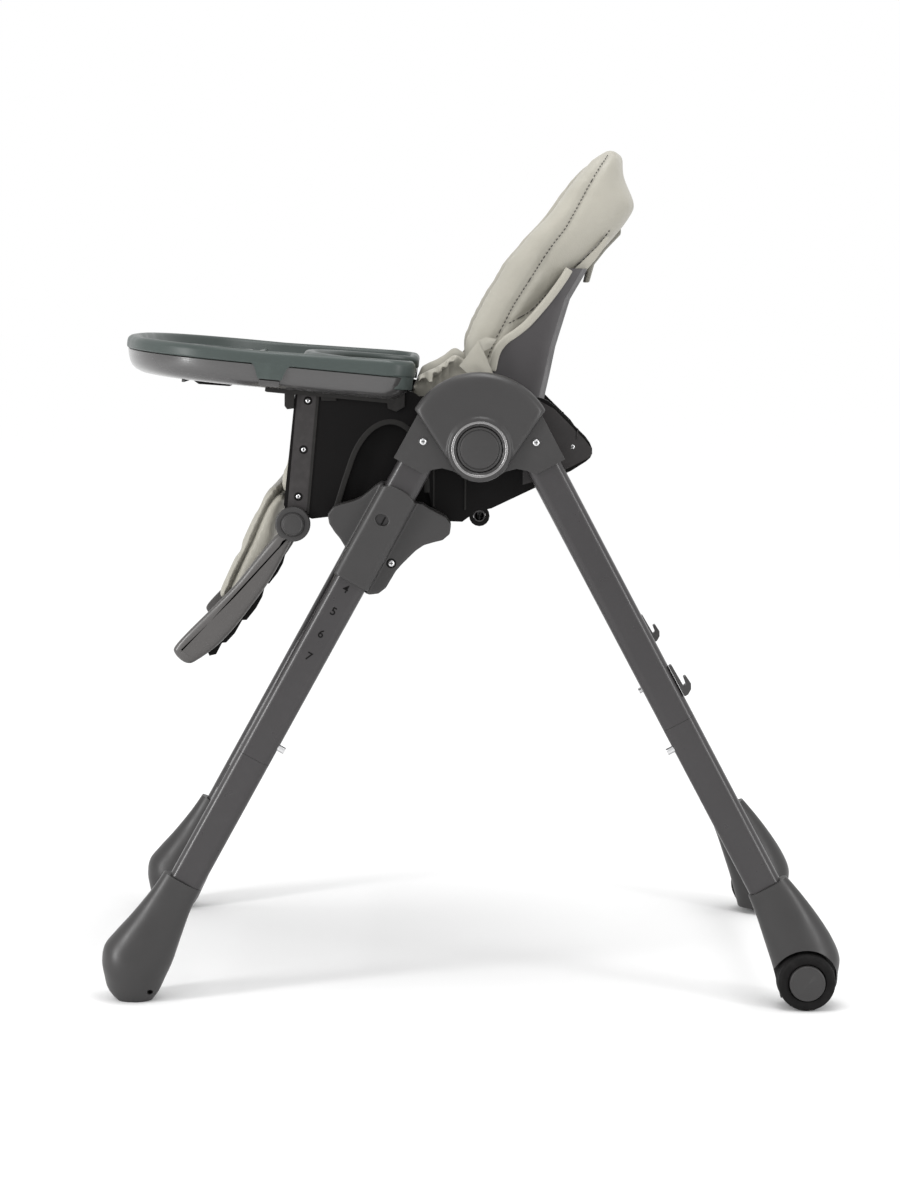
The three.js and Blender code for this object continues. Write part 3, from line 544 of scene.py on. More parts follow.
def make_collar(side, sign):
    """Ring round the fold button, in a bright metal that paints its highlight."""
    face = outer_face(f"hub_cover_{side}")
    profile = [(29.0, face - 2.4), (29.3, face - 0.5), (30.4, face + 0.15), (31.8, face + 0.2),
               (32.8, face - 0.5), (33.2, face - 2.4)]
    ring = turned(f"hub_collar_{side}", profile, HUB, sign, 72, closed=True)
    dress(soften(ring, angle=60), "hub_plastic", BODY_OF[f"hub_cover_{side}"], material=COLLAR_PAINTED_HIGHLIGHT)


def make_wheel(side, sign):
    low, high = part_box(f"rear_wheel_{side}")
    center = (low + high) / 2
    inner, outer = sorted(abs(value) / MM for value in (low.x, high.x))
    radius = (high.z - low.z) / 2 / MM
    profile = [(5.4, inner), (radius - 5, inner), (radius - 2, inner + 1.2), (radius - 0.4, inner + 4)]
    for groove in (9, 15, 21):
        x = inner + groove
        profile += [(radius, x - 2.2), (radius - 1.4, x - 1.6), (radius - 1.4, x + 0.6), (radius, x + 1.2)]
    profile += [(radius - 0.4, outer - 4), (radius - 2, outer - 1.2), (radius - 5, outer), (25, outer - 0.4),
                (22.6, outer - 0.8), (22, outer - 2), (22, outer - 3.9), (5.4, outer - 3.9)]
    tyre = turned(f"rear_wheel_{side}_tyre", profile, center, sign, 64, closed=True)
    dress(soften(tyre, angle=50), "tyre", f"wheel_{side}", [f"rear_wheel_{side}"])
    cap = turned(f"wheel_axle_{side}_cap", [
        (0, 223), (4.8, 223), (5, 224), (5, outer - 3.7), (20.9, outer - 3.7), (21, outer + 1.6),
        (20.6, outer + 2.8), (19.6, outer + 3.4), (18.6, outer + 3.2), (18, outer + 3.0),
        (10, outer + 3.9), (0, outer + 4.4),
    ], center, sign, 64)
    dress(soften(cap, angle=50), "hub_plastic", "rear_frame", [f"wheel_axle_{side}"])


def make_footrest_pin(side, sign):
    low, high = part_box(f"footrest_pin_{side}")
    face = outer_face(f"footrest_pin_{side}")
    pin = turned(f"footrest_pin_{side}_cap", [
        (0, 197), (5.6, 197), (6, 197.6), (6, 221.3), (12.7, 221.3), (12.7, face - 1.6), (12.2, face - 0.8),
        (11.2, face - 0.5), (10.4, face - 0.9), (9.8, face - 0.5), (4, face - 0.1), (0, face),
    ], (low + high) / 2, sign, 48)
    dress(soften(pin, angle=50), "hub_plastic", "seat", [f"footrest_pin_{side}"])


def make_screw(name, place, sign, body, radius):
    """Pan-head screw whose cross recess is near-black slots set flush into the head (painted shade), in a shallow
    moulded ring; place is on the face it sits on.
    """
    face = abs(place.x) / MM
    head = turned(name, [
        (0, face - 1.0), (radius, face - 1.0), (radius, face + 0.5), (radius - 0.6, face + 1.1),
        (radius - 1.5, face + 1.4), (0, face + 1.5)], place, sign, 24)
    dress(soften(head), "steel", body)
    y, z = place.y / MM, place.z / MM
    # the cross recess is not cut: near-black slots flush with the head paint its shade
    arms = []
    for wide, tall in ((radius * 1.2, 0.9), (0.9, radius * 1.2)):
        arms.append(block(name + "_slot", (sign * (face + 0.7), y - wide / 2, z - tall / 2),
                          (sign * (face + 1.55), y + wide / 2, z + tall / 2)))
    dress(joined(name + "_recess", arms), "hub_plastic", body, material=INK_AND_RECESS_SHADE)
    ring = [(radius + 0.5, face - 0.6), (radius + 0.7, face + 0.5), (radius + 1.3, face + 0.7),
            (radius + 2.0, face + 0.3), (radius + 2.4, face - 0.6)]
    boss = turned(name + "_boss", ring, place, sign, 28, closed=True)
    dress(soften(boss, angle=60), "hub_plastic" if body != "seat" else "seat_plastic", body)


def make_screws():
    low = leg_point(0, -0.031, 0.166)
    panel_screws = {"column": (PANEL_FACE + 0.0012, 2.6, [(-0.195, 0.706), (-0.200, 0.649), (-0.206, 0.594)]),
                    "arm": (PANEL_FACE, 2.8, [(0.067, 0.620), (0.114, 0.655)])}
    for side, sign in SIDES.items():
        for end, y in (("front", -0.060), ("rear", 0.070)):
            place = Vector((sign * SOCKET_FACE, y, 0.662))
            make_screw(f"socket_screw_{end}_{side}", place, sign, end + "_frame", 3.8)
        make_screw(f"slider_screw_{side}", Vector((sign * SLIDER_WING, low.y, low.z)), sign, "seat", 3.6)
        for name, (face, radius, places) in panel_screws.items():
            for k, (y, z) in enumerate(places):
                make_screw(f"{name}_screw_{k}_{side}", Vector((sign * face, y, z)), sign, "seat", radius)


def make_numbers():
    """Height numbers 1 to 7, printed down the outer face of the front legs."""
    for side, sign in SIDES.items():
        for step in range(7):
            curve = bpy.data.curves.new(f"height_number_{step + 1}_{side}", "FONT")
            curve.body = str(step + 1)
            curve.size = 0.0135
            curve.align_x, curve.align_y = "CENTER", "CENTER"
            curve.extrude = 0.00012
            curve.offset = 0.0002
            text = link(curve.name, curve)
            place = leg_point(sign * (TUBE_FACE + 0.0001), 0.001, 0.127 + 0.030 * step)
            up, face = -DOWN_LEG, Vector((sign, 0, 0))
            turn = Matrix((up.cross(face), up, face)).transposed()
            text.matrix_world = Matrix.LocRotScale(place, turn, None)
            dress(mesh_of_text(text), "hub_plastic", "front_frame", material=INK_AND_RECESS_SHADE)


def mesh_of_text(text):
    """Turns a text object into a mesh piece with the same name."""
    bpy.context.view_layer.update()
    graph = bpy.context.evaluated_depsgraph_get()
    mesh = bpy.data.meshes.new_from_object(text.evaluated_get(graph))
    mesh.transform(text.matrix_world)
    name = text.name
    bpy.data.objects.remove(text)
    return link(name, mesh)


def joined(name, parts):
    """One piece from several closed meshes."""
    bm = bmesh.new()
    for part in parts:
        bm.from_mesh(part.data)
        bpy.data.objects.remove(part)
    return link(name, mesh_from(bm, name))


def carve(piece, cutters):
    """Cuts closed meshes out of a piece and removes them."""
    for cutter in cutters:
        modify(piece, "BOOLEAN", object=cutter, operation="DIFFERENCE")
        apply_modifiers(piece)
        bpy.data.objects.remove(cutter)
    return piece


def block(name, low, high):
    """A closed box between two corners, in millimetres."""
    corners = [(low[0], low[1]), (high[0], low[1]), (high[0], high[1]), (low[0], high[1])]
    return loft(name, [[mm(x, y, z) for x, y in corners] for z in (low[2], high[2])])


def drawn_in(points, distance):
    """A closed outline moved inwards by a distance, each point along its own normal."""
    points = [Vector(point) for point in points]
    turn = sum(a.cross(b) for a, b in zip(points, points[1:] + points[:1]))
    sign = 1 if turn > 0 else -1
    moved = []
    for k, point in enumerate(points):
        along = (points[(k + 1) % len(points)] - points[k - 1]).normalized()
        moved.append(tuple(point + Vector((-along.y, along.x)) * sign * distance))
    return moved


def moulded_plate(name, outline, levels, sign=1):
    """A plate with rounded faces; levels are (x, how far the outline is drawn in), in millimetres."""
    return loft(name, [[mm(sign * x, y, z) for y, z in drawn_in(outline, inset)] for x, inset in levels])


# Foot stations: distance down the leg, centre across, half depth, half width.
FRONT_FOOT = [(613, 3.5, 24, 13.8), (640, 4.5, 26, 16.5), (675, 5, 32, 22.5), (704, 6, 38, 28.5),
              (725, 7, 40.5, 32), (743, 3.5, 38, 30.5), (757, -0.5, 31.5, 25.5), (768, -2, 23, 18),
              (774, -4, 13, 11), (776, -5, 4, 3)]
REAR_FOOT = [(613, 3, 25, 14), (640, 4.5, 29.5, 17.5), (673, 4.5, 35, 23.5), (704, 3, 39, 29),
             (728, -1, 40.5, 32), (745, -8, 36.8, 30), (758, -10, 30, 23.5), (765, -12, 18, 14),
             (768, -12, 6, 5)]


def foot_bulb(name, stations, sign, rear):
    rings = []
    for along, centre, half_out, half_x in smooth_rows(stations, 7):
        square = 0.82 + 0.18 * min(1, max(0, (along - 613) / 60))  # boxier where it takes the tube
        ring = []
        for turn in turns(56):
            c, s = math.cos(turn), math.sin(turn)
            x = sign * (LEG_X + half_x * MM * math.copysign(abs(c) ** square, c))
            out = (centre + half_out * math.copysign(abs(s) ** square, s)) * MM
            ring.append(leg_point(x, out, along * MM, rear))
        rings.append(ring)
    return loft(name, rings)


def make_foot(kind, side, sign):
    rear = kind == "rear"
    foot = foot_bulb(f"{kind}_foot_{side}_bulb", REAR_FOOT if rear else FRONT_FOOT, sign, rear)
    if rear:
        wheel_low, wheel_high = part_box(f"rear_wheel_{side}")
        center = (wheel_low + wheel_high) / 2
        arch_x, radius = 245.5, (wheel_high.z - wheel_low.z) / 2 / MM + 3.5
        arch = turned("arch", [(0, arch_x), (radius, arch_x), (radius, 330), (0, 330)], center, sign, 72)
        edge = sorted((sign * arch_x, sign * 330))
        under_arch = block("under_arch", (edge[0], 300, -40), (edge[1], 520, center.z / MM - 3))
        underside = block("underside", (sign * LEG_X / MM - 120, 300, -60), (sign * LEG_X / MM + 120, 520, 8))
        carve(foot, [arch, under_arch, underside])
    else:
        carve(foot, [block("floor_cut", (sign * 245 - 120, -520, -80), (sign * 245 + 120, -250, 0)),
                     turned("vent", [(0, 250), (3.3, 250), (3.3, 300), (0, 300)],
                            Vector((0, -0.376, 0.013)), sign, 24)])
    soften(foot, 0.0006, 38, 1)
    node = f"{kind}_foot_{side}"
    dress(foot, SLOT_OF[node], BODY_OF[node], [node])


ARM_OUTLINE = [
    (-218, 556), (-232, 548), (-255, 521), (-279, 491), (-308, 461), (-334, 435), (-350, 417), (-351, 409),
    (-343, 400), (-334, 396.5), (-325, 400), (-304, 415), (-284, 435), (-262, 463), (-238, 497), (-214, 541),
    (-209, 550),
]
BOARD_OUTLINE = [(-247, 513), (-266, 487), (-292, 455), (-330, 418), (-341, 410), (-336, 400), (-322, 405),
                 (-304, 417), (-285, 435), (-263, 462), (-243, 495)]
BRACKET_OUTLINES = [
    [(-243, 497), (-249, 474), (-256, 461), (-267, 447), (-275, 447), (-264, 462), (-252, 480)],
    [(-267, 456), (-281, 431), (-291, 420), (-302, 419), (-292, 428), (-280, 444)],
    [(-289, 433), (-303, 406), (-311, 404), (-314, 411), (-303, 422)],
]
FOOTREST_HINGE = Vector(JOINTS["footrest_tilt"]["pos_m"])


def make_footrest():
    parts = []
    arm = smooth_ring(ARM_OUTLINE, 4)
    arm_levels = [(212.4, 1.2), (213.4, 0.2), (214.6, 0), (216.6, 0.7), (218.2, 2.2), (219.4, 4.4),
                  (220.3, 7.0), (220.9, 9.6)]
    for side, sign in SIDES.items():
        parts.append(moulded_plate(f"arm_{side}", arm, arm_levels, sign))
        disc = turned(f"footrest_hinge_{side}_disc", [
            (0, 212.5), (19.6, 212.5), (20.5, 213.4), (20.5, 219.4), (20.0, 220.4), (19.0, 221.0),
            (14.6, 221.0), (13.9, 220.2), (13.2, 221.0), (0, 221.0)], FOOTREST_HINGE, sign, 64)
        dress(soften(disc, angle=50), "hub_plastic", "footrest")
    board = smooth_ring(BOARD_OUTLINE, 3)
    parts.append(moulded_plate("board", board, [(-212.2, 1.2), (-211, 0), (211, 0), (212.2, 1.2)]))
    tread = [(y - 1.6, z + 1.9) for y, z in BOARD_OUTLINE[2:5]] + [(-331, 409), (-306, 429), (-291, 446)]
    for x in range(-165, 166, 22):
        parts.append(moulded_plate(f"tread_{x}", tread, [(x - 3, 1), (x - 1.5, 0), (x + 1.5, 0), (x + 3, 1)]))
    footrest = joined("footrest_moulding", parts)
    dress(soften(footrest, angle=42), SLOT_OF["footrest"], "footrest", ["footrest"])
    for k, outline in enumerate(BRACKET_OUTLINES):
        for side, sign in SIDES.items():
            bracket = moulded_plate(f"footrest_bracket_{k}_{side}", outline,
                                    [(196, 1), (197, 0), (203, 0), (204, 1)], sign)
            dress(soften(bracket), "seat_plastic", "footrest")


# ------------------------------------------------------------------ trays

TRAY_ORIGIN = Vector((0, -0.230, 0.747))  # middle of the seam between the trays
TRAY_AHEAD = Vector(JOINTS["tray_slide"]["axis"]).normalized()
TRAY_UP = Vector((0, TRAY_AHEAD.z, -TRAY_AHEAD.y))
TRAY_PLAN = {"half": 240, "front": -194, "rear": 158, "waist": -20, "belly": 30, "belly_half": 150}


def tray_point(x, y, up):
    return TRAY_ORIGIN + Vector((x * MM, 0, 0)) - TRAY_AHEAD * y * MM + TRAY_UP * up * MM


def tray_outline(inset, fine=26):
    """Plan of the tray: a round front, straight sides and a scooped rear edge."""
    plan = TRAY_PLAN
    power = 2 / 2.7
    points = []
    long = plan["waist"] - plan["front"] - inset
    for k in range(fine + 1):
        turn = k / fine * math.pi / 2
        points.append(((plan["half"] - inset) * math.sin(turn) ** power,
                       plan["waist"] - long * max(math.cos(turn), 0) ** power))
    for center, radius, start in (((plan["half"] - 35, plan["rear"] - 35), 35 - inset, 0),
                                  ((plan["belly_half"] + 25, plan["rear"] - 25), 25 - inset, math.pi / 2)):
        for k in range(9):
            turn = start + k / 8 * math.pi / 2
            points.append((center[0] + radius * math.cos(turn), center[1] + radius * math.sin(turn)))
    deep = plan["rear"] - 25 - plan["belly"] + inset
    for k in range(1, 19):
        turn = k / 18 * math.pi / 2
        points.append(((plan["belly_half"] + inset) * math.cos(turn),
                       plan["rear"] - 25 - deep * math.sin(turn)))
    points[0] = (0, points[0][1])
    points[-1] = (0, points[-1][1])
    return points + [(-x, y) for x, y in reversed(points[1:-1])]


def tray_loft(name, levels, lift=None):
    """Skins the plan at (inset, height) levels; lift(x, y, up) may raise a point."""
    lift = lift or (lambda x, y, up: 0)
    return loft(name, [[tray_point(x, y, up + lift(x, y, up)) for x, y in tray_outline(inset)]
                       for inset, up in levels])


def plan_loft(name, outline, levels):
    """A small raised feature of the tray from its own plan."""
    return loft(name, [[tray_point(x, y, up) for x, y in drawn_in(outline, inset)] for inset, up in levels])


def ring_wall(name, x, y, outer, inner, low, high):
    """A round upstand, such as a cup ring."""
    section = [(outer, low), (outer - 0.4, high - 1), (outer - 1.4, high), (inner + 1.4, high),
               (inner + 0.4, high - 1), (inner, low)]
    rings = [[tray_point(x + r * math.cos(t), y + r * math.sin(t), up) for t in turns(56)]
             for r, up in section]
    return loft(name, rings, closed=True)


def side_rise(x, y, up):
    """The rim steps up beside the child's elbows."""
    if up < 8:
        return 0
    share = min(1, max(0, (y - 68) / 12))
    return 4.0 * share * share * (3 - 2 * share) * min(1, max(0, (abs(x) - 165) / 20))


# How the upper tray's clip narrows downwards: height, rear edge, front edge, outer face.
CLIP_ROWS = [(3, 20, -34, 241.2), (0.5, 15.5, -28.5, 241.4), (-3, 12, -25.5, 241.5), (-9, 9.5, -23, 241.5),
             (-14, 8, -21.5, 241.3), (-16.5, 6.5, -20, 240.6)]
CLIP_THICK = 4.5
TRAY_CORNER = [(226, 128), (234, 134), (231, 148), (214, 158), (210, 150), (221, 140)]


def make_tray_top():
    parts = [tray_loft("dish", [
        (22, -9.4), (19.5, -5), (17, 0.3), (6, 0.3), (0.4, 0.3), (-0.8, 0.9), (-1.4, 2.4), (-1.4, 8.5),
        (-0.8, 11.2), (0.8, 13.4), (3, 15), (5.8, 15.5), (8.2, 15.1), (10.2, 13.6), (11.6, 11), (14.4, 6),
        (17.6, 0), (19.8, -4.6), (22.6, -6.5), (26, -6.7),
    ], side_rise)]
    rear = [(x, y) for x, y in tray_outline(16) if y > -42]
    split = max(range(len(rear)), key=lambda k: sum(abs(a - b) for a, b in zip(rear[k], rear[k - 1])))
    rear = rear[split:] + rear[:split]
    parts.append(plan_loft("shelf", rear, [(0, -6.9), (0, 0.6), (0.6, 1.6), (2, 2)]))
    parts.append(plan_loft("divider", [(-222, -48), (222, -48), (222, -41), (-222, -41)],
                           [(0, -7), (0.2, 3.6), (0.9, 4.7), (2.2, 5.1)]))
    parts.append(ring_wall("cup", -135, -95, 41, 36.5, -7, 5))
    plate = [(181 + 33 * math.cos(t), 22 + 48 * math.sin(t)) for t in turns(40)]
    parts.append(plan_loft("spoon_rest", plate, [(0, 1.2), (0.5, 3.4), (1.6, 4.0), (3.2, 3.8), (4.4, 2.8),
                                                 (6, 2.4)]))
    for sign in SIDES.values():
        rows = []
        for up, rear_edge, front_edge, face in CLIP_ROWS:
            inner = face - CLIP_THICK
            rows.append([tray_point(sign * x, y, up) for x, y in (
                (face, front_edge), (face, rear_edge), (inner, rear_edge), (inner, front_edge))])
        parts.append(loft("clip", rows))
        parts.append(plan_loft("corner", [(sign * x, y) for x, y in TRAY_CORNER],
                               [(0.3, -14), (0, -12.5), (0, 1), (0.4, 2)]))
    top = joined("tray_top_moulding", parts)
    dress(soften(top, angle=48), SLOT_OF["tray_top"], "tray_top", ["tray_top"])


def strip(sign, inner, outer, front, rear):
    """The plan of a straight bar under the tray."""
    return [(sign * inner, front), (sign * outer, front), (sign * outer, rear), (sign * inner, rear)]


def make_tray_base():
    parts = [tray_loft("lower_dish", [
        (34, -27.8), (24, -27.6), (17, -26.6), (11, -24), (6.5, -20), (3.8, -15), (2, -9), (1, -4), (0.4, -1),
        (0.9, -0.35), (4.6, -0.35), (5.4, -1), (7, -8), (10, -15), (15, -21.5), (21, -24.3), (30, -24.9),
    ])]
    for side, sign in SIDES.items():
        for front in (-112, 18):
            parts.append(plan_loft("rib", strip(sign, 100, 190, front, front + 3), [(0, -31), (0, -26)]))
        parts.append(plan_loft("catch", strip(sign, 230, 239, -19, 5), [(0.6, -24.5), (0, -23.8), (0, -18)]))
        parts.append(plan_loft("rail", strip(sign, 193, 196.5, -12, 138), [(0, -33), (0, -12)]))
        runner = plan_loft(f"tray_runner_{side}", strip(sign, 215.5, 219, -12, 138), [(0, -31.5), (0, -12)])
        dress(runner, "tray_base_plastic", "tray", material=PANEL_GREY)
    base = joined("tray_base_moulding", parts)
    dress(soften(base, angle=45), SLOT_OF["tray_base"], "tray", ["tray_base"])


# ------------------------------------------------------------------ details of the seat's side panels

def make_panel_details():
    """Ribs, guide blocks and the rim line that the moulded side panels carry."""
    plates = {
        "column_face": ([(-207.5, 716), (-183, 717), (-194.5, 577), (-219, 577)], 0.0, 0.7),
        "column": ([(-181, 719), (-184.5, 719), (-196.5, 574), (-193, 574)], 0.0, 1.6),
        "guide": ([(-222, 722), (-210, 722), (-211, 697), (-219, 696), (-222, 700)], 0.0, 6.0),
        "stop": ([(-181, 716), (-163, 715), (-162, 706), (-179, 706)], 0.0, 2.4),
        "rail": ([(-178, 719), (-98, 712), (-98, 706), (-178, 713)], 0.0, 3.0),
        "rear_block": ([(-104, 716), (-82, 718), (-82, 700), (-92, 694), (-102, 698)], 0.0, 6.5),
        "rib_front": ([(-49, 700), (-46.5, 700), (-46.5, 584), (-49, 584)], -0.5, 2.0),
        "rib_rear": ([(-12, 700), (-9.5, 700), (-9.5, 580), (-12, 580)], -0.5, 2.0),
        "arm": ([(56, 709), (74, 708.5), (92, 699), (127, 664.5), (135.5, 654), (137, 647), (132, 641.5),
                 (110, 630), (84, 618), (56, 610)], 0.0, 0.9),
        "arm_web": ([(118, 664), (119.5, 665), (120.5, 676), (119, 677)], 0.5, 2.4),
    }
    face = PANEL_FACE / MM
    for side, sign in SIDES.items():
        for name, (outline, low, high) in plates.items():
            plate = moulded_plate(f"panel_{name}_{side}", outline, [
                (face + low - 0.4, 0), (face + high - 0.7, 0), (face + high, 0.5)], sign)
            tone = PANEL_LIGHT if name in ("arm", "arm_web", "column_face") else PANEL_GREY
            dress(soften(plate, angle=35), "seat_plastic", "seat", material=tone)


def bezier(controls, steps):
    line = []
    for s in range(steps + 1):
        points = [Vector(point) for point in controls]
        while len(points) > 1:
            points = [a.lerp(b, s / steps) for a, b in zip(points, points[1:])]
        line.append(points[0])
    return line


def make_arch_rims():
    """Moulded rim round the arched opening of each side panel."""
    line = bezier([(-54, 600), (-52, 700), (-124, 712), (-148, 630)], 26)
    line += bezier([(-148, 630), (-158, 600), (-166, 571)], 8)[1:]
    face = PANEL_FACE / MM
    section = [(5, -2.5), (5, 0.3), (4.3, 0.9), (-0.6, 0.9), (-1.4, 0.3), (-1.4, -0.5)]
    for side, sign in SIDES.items():
        rings = []
        for k, point in enumerate(line):
            along = (line[min(k + 1, len(line) - 1)] - line[max(k - 1, 0)]).normalized()
            inward = Vector((-along.y, along.x))
            rings.append([(sign * (face + x) * MM, *((point + inward * deep) * MM)) for deep, x in section])
        rim = loft(f"panel_arch_rim_{side}", rings)
        dress(soften(rim, angle=50), "seat_plastic", "seat", material=PANEL_GREY)


make_mouldings()
make_arch_rims()
for side_name, side_sign in SIDES.items():
    make_fold_button(side_name, side_sign)
    make_collar(side_name, side_sign)
    make_wheel(side_name, side_sign)
    make_footrest_pin(side_name, side_sign)
    for foot_kind in ("front", "rear"):
        make_foot(foot_kind, side_name, side_sign)
make_footrest()
make_tray_top()
make_tray_base()
make_panel_details()
make_screws()
make_numbers()

# ------------------------------------------------------------------ soft goods: helpers

CLOTH = {"quality": 3, "mass": 0.3, "tension_stiffness": 12, "compression_stiffness": 12,
         "shear_stiffness": 6, "bending_stiffness": 2.0, "use_pressure": True}
CLOTH_FRAMES = 20


def inflate(piece, voxel, cap, pressure=4.0, relax=4):
    """Fills a closed cover by cloth simulation, holding each point within the cap of its pattern."""
    melted(piece, voxel, relax)
    blow_up(piece, pressure, cap)
    modify(piece, "SMOOTH", factor=0.5, iterations=5)
    return rounded(piece)


def blow_up(piece, pressure, cap):
    pattern = [vertex.co.copy() for vertex in piece.data.vertices]
    cloth = piece.modifiers.new("cloth", "CLOTH")
    for key, value in CLOTH.items():
        setattr(cloth.settings, key, value)
    cloth.settings.uniform_pressure_force = pressure
    cloth.settings.effector_weights.gravity = 0
    cloth.point_cache.frame_start = 1
    cloth.point_cache.frame_end = CLOTH_FRAMES
    for step in range(1, CLOTH_FRAMES + 1):
        bpy.context.scene.frame_set(step)
    apply_modifiers(piece)
    bpy.context.scene.frame_set(1)
    for vertex, start in zip(piece.data.vertices, pattern):
        move = vertex.co - start
        if move.length > cap:
            vertex.co = start + move.normalized() * cap


def on_surface(piece, points, toward, reach=0.12):
    """Drops points onto a piece along a direction; points that miss are left out."""
    tree = BVHTree.FromObject(piece, bpy.context.evaluated_depsgraph_get())
    toward = Vector(toward).normalized()
    found = []
    for point in points:
        place, normal, _, _ = tree.ray_cast(Vector(point) - toward * reach, toward, 2 * reach)
        if place is not None:
            found.append((place, normal))
    return found


def press_seams(piece, lines, depth, width):
    """Draws the surface in along seam lines, each a list of (place, normal)."""
    places = [(place, normal) for line in lines for place, normal in line]
    tree = KDTree(len(places))
    for k, (place, _) in enumerate(places):
        tree.insert(place, k)
    tree.balance()
    for vertex in piece.data.vertices:
        _, k, distance = tree.find(vertex.co)
        normal = places[k][1]
        if distance < 3 * width and vertex.normal.dot(normal) > 0.1:
            vertex.co -= normal * depth * math.exp(-(distance / width) ** 2)


def stitches(name, line, body, color, radius, sink, pitch=0.0055, dash=0.62):
    """A sewn line: short thread dashes laid in a seam."""
    bm = bmesh.new()
    travelled, start = 0.0, None
    for (place, normal), (after, _) in zip(line, line[1:]):
        travelled += (after - place).length
        inside = travelled % pitch < pitch * dash
        if inside and start is None:
            start = place - normal * sink
        if not inside and start is not None:
            add_dash(bm, start, place - normal * sink, radius)
            start = None
    piece = link(name, mesh_from(bm, name))
    piece.data.shade_smooth()
    return dress(piece, "pad_fabric", body, material=color)


def add_dash(bm, start, end, radius):
    along = end - start
    if along.length < 1e-5:
        return
    turn = along.to_track_quat("Z", "Y").to_matrix().to_4x4()
    stretch = Matrix.Diagonal((1, 1, along.length / 2 / radius, 1))
    place = Matrix.Translation((start + end) / 2) @ turn @ stretch
    bmesh.ops.create_icosphere(bm, subdivisions=1, radius=radius, matrix=place)


def dense(points, spacing=0.0012):
    """A polyline resampled at an even, fine spacing."""
    points = [Vector(point) for point in points]
    line = []
    for first, last in zip(points, points[1:]):
        count = max(1, round((last - first).length / spacing))
        line += [first.lerp(last, k / count) for k in range(count)]
    return line + [points[-1]]


def ribbon(name, path, across, thick, body, replaced=()):
    """A flat strap along a path; across is half the strap's width, as a vector."""
    side = Vector(across)
    rings = []
    for k, point in enumerate(path):
        before, after = path[max(k - 1, 0)], path[min(k + 1, len(path) - 1)]
        up = (Vector(after) - Vector(before)).cross(side).normalized() * thick / 2
        rim = side.normalized() * thick * 0.4
        rings.append([Vector(point) + offset for offset in (
            side, side - rim + up, -side + rim + up, -side, -side + rim - up, side - rim - up)])
    return dress(soften(loft(name, rings), angle=60), "webbing", body, replaced)


# ------------------------------------------------------------------ backrest pad

# The pad's side view, bottom to top, in millimetres: height, front of the roll, side seam, back, half width.
PAD_STATIONS = [
    (657, 34, 40, 60, 168), (672, 18, 38, 64, 172), (700, 4, 38, 70, 174), (735, -11, 34, 78, 174),
    (768, -20, 22, 85, 173), (795, -10, 34, 92, 172), (817, 0, 46, 99, 170), (837, 11, 57, 107, 168),
    (860, 25, 72, 121, 165), (880, 38, 85, 138, 162), (898, 52, 97, 154, 160), (916, 67, 109, 169, 158),
    (934, 82, 119, 181, 156), (945, 91, 124, 183, 154), (962, 103, 134, 174, 151),
    (979, 118, 143, 168, 146), (993, 131, 151, 169, 139), (1004, 142, 156, 169, 127),
    (1012, 151, 159, 167, 108),
]
PAD_THICK = 21


def pad_ring(height, front, seam, back, half):
    """The C-shaped outline of the backrest pad at one height."""
    deep = back - front
    inner = max(back - PAD_THICK, front + 0.35 * deep)
    side = min(seam, back - 6)
    roll = (front + side) / 2
    outline = [
        (half - 40, back), (half - 14, back - 0.10 * deep), (half - 3, back - 0.30 * deep),
        (half - 3, side + 3), (half - 5, side), (half - 2, side - 3), (half + 1, roll),
        (half - 5, front + 0.08 * deep),
        (half - 13, front), (half - 23, front + 0.10 * deep), (half - 27, roll),
        (half - 27, min(inner - 0.12 * deep, side + 8)), (half - 36, inner - 0.02 * deep), (half - 56, inner),
    ]
    ring = outline + [(0.35 * half, inner - 2), (0, inner - 3), (-0.35 * half, inner - 2)]
    ring += [(-x, y) for x, y in reversed(outline)]
    ring += [(-0.35 * half, back), (0, back + 1), (0.35 * half, back)]
    return [mm(x, y, height) for x, y in smooth_ring(ring, 3)]


SIDE_SEAM = [(155, 998), (142, 978), (124, 945), (105, 909), (89, 887), (67, 853), (45, 818), (34, 797),
             (23, 777), (14, 756)]
REAR_SEAM = [(158, 907), (143, 887), (125, 870), (103, 849), (83, 831), (66, 813), (50, 803), (35, 795)]


def side_line(points, sign):
    return dense([(sign * 0.2, y * MM, z * MM) for y, z in smooth_rows(points, 6)])


def make_backrest_pad():
    rings = [pad_ring(*row) for row in smooth_rows(PAD_STATIONS, 3)]
    pad = loft("backrest_cushion", rings)
    inflate(pad, 0.0065, 0.007, pressure=3.5, relax=8)
    sewn, quilt = [], []
    for side, sign in SIDES.items():
        for name, points in (("side", SIDE_SEAM), ("rear", REAR_SEAM)):
            line = on_surface(pad, side_line(points, sign), (-sign, 0, 0))
            sewn.append((f"backrest_{name}_seam_{side}", line, name))
    for x in (-92, 92):
        quilt.append(on_surface(pad, dense([mm(x, 20, 690), mm(x, 160, 985)]), (0, 1, 0)))
    for z in (745, 815, 880, 938):
        quilt.append(on_surface(pad, dense([mm(-92, z - 655, z), mm(92, z - 655, z)]), (0, 1, 0), 0.3))
    for name, (deep, wide) in {"side": (0.0032, 0.0055), "rear": (0.0014, 0.003)}.items():
        press_seams(pad, [line for _, line, kind in sewn if kind == name], deep, wide)
    press_seams(pad, quilt, 0.0045, 0.009)
    dress(pad, "pad_fabric", "backrest", ["backrest_pad"])
    for name, line, kind in sewn:
        # the dark thread also paints the crease's shade along these seams
        sink = 0.0024 if kind == "side" else 0.0009
        stitches(name, line, "backrest", SEAM_THREAD_AND_SHADE, 0.0007, sink - 0.0004, 0.005, 0.78)
    for k, line in enumerate(quilt):
        stitches(f"backrest_quilt_seam_{k}", line, "backrest", PALE_THREAD, 0.0005, 0.0040)


# The cover's hem where it hooks over the shell's front edge: edge point (y, z), shell half width.
HEM_LINE = [(18, 742, 190), (23, 764, 188), (33, 778, 186), (47, 788, 184), (62, 801, 182), (84, 827, 178),
            (100, 849, 172), (108, 862, 167)]


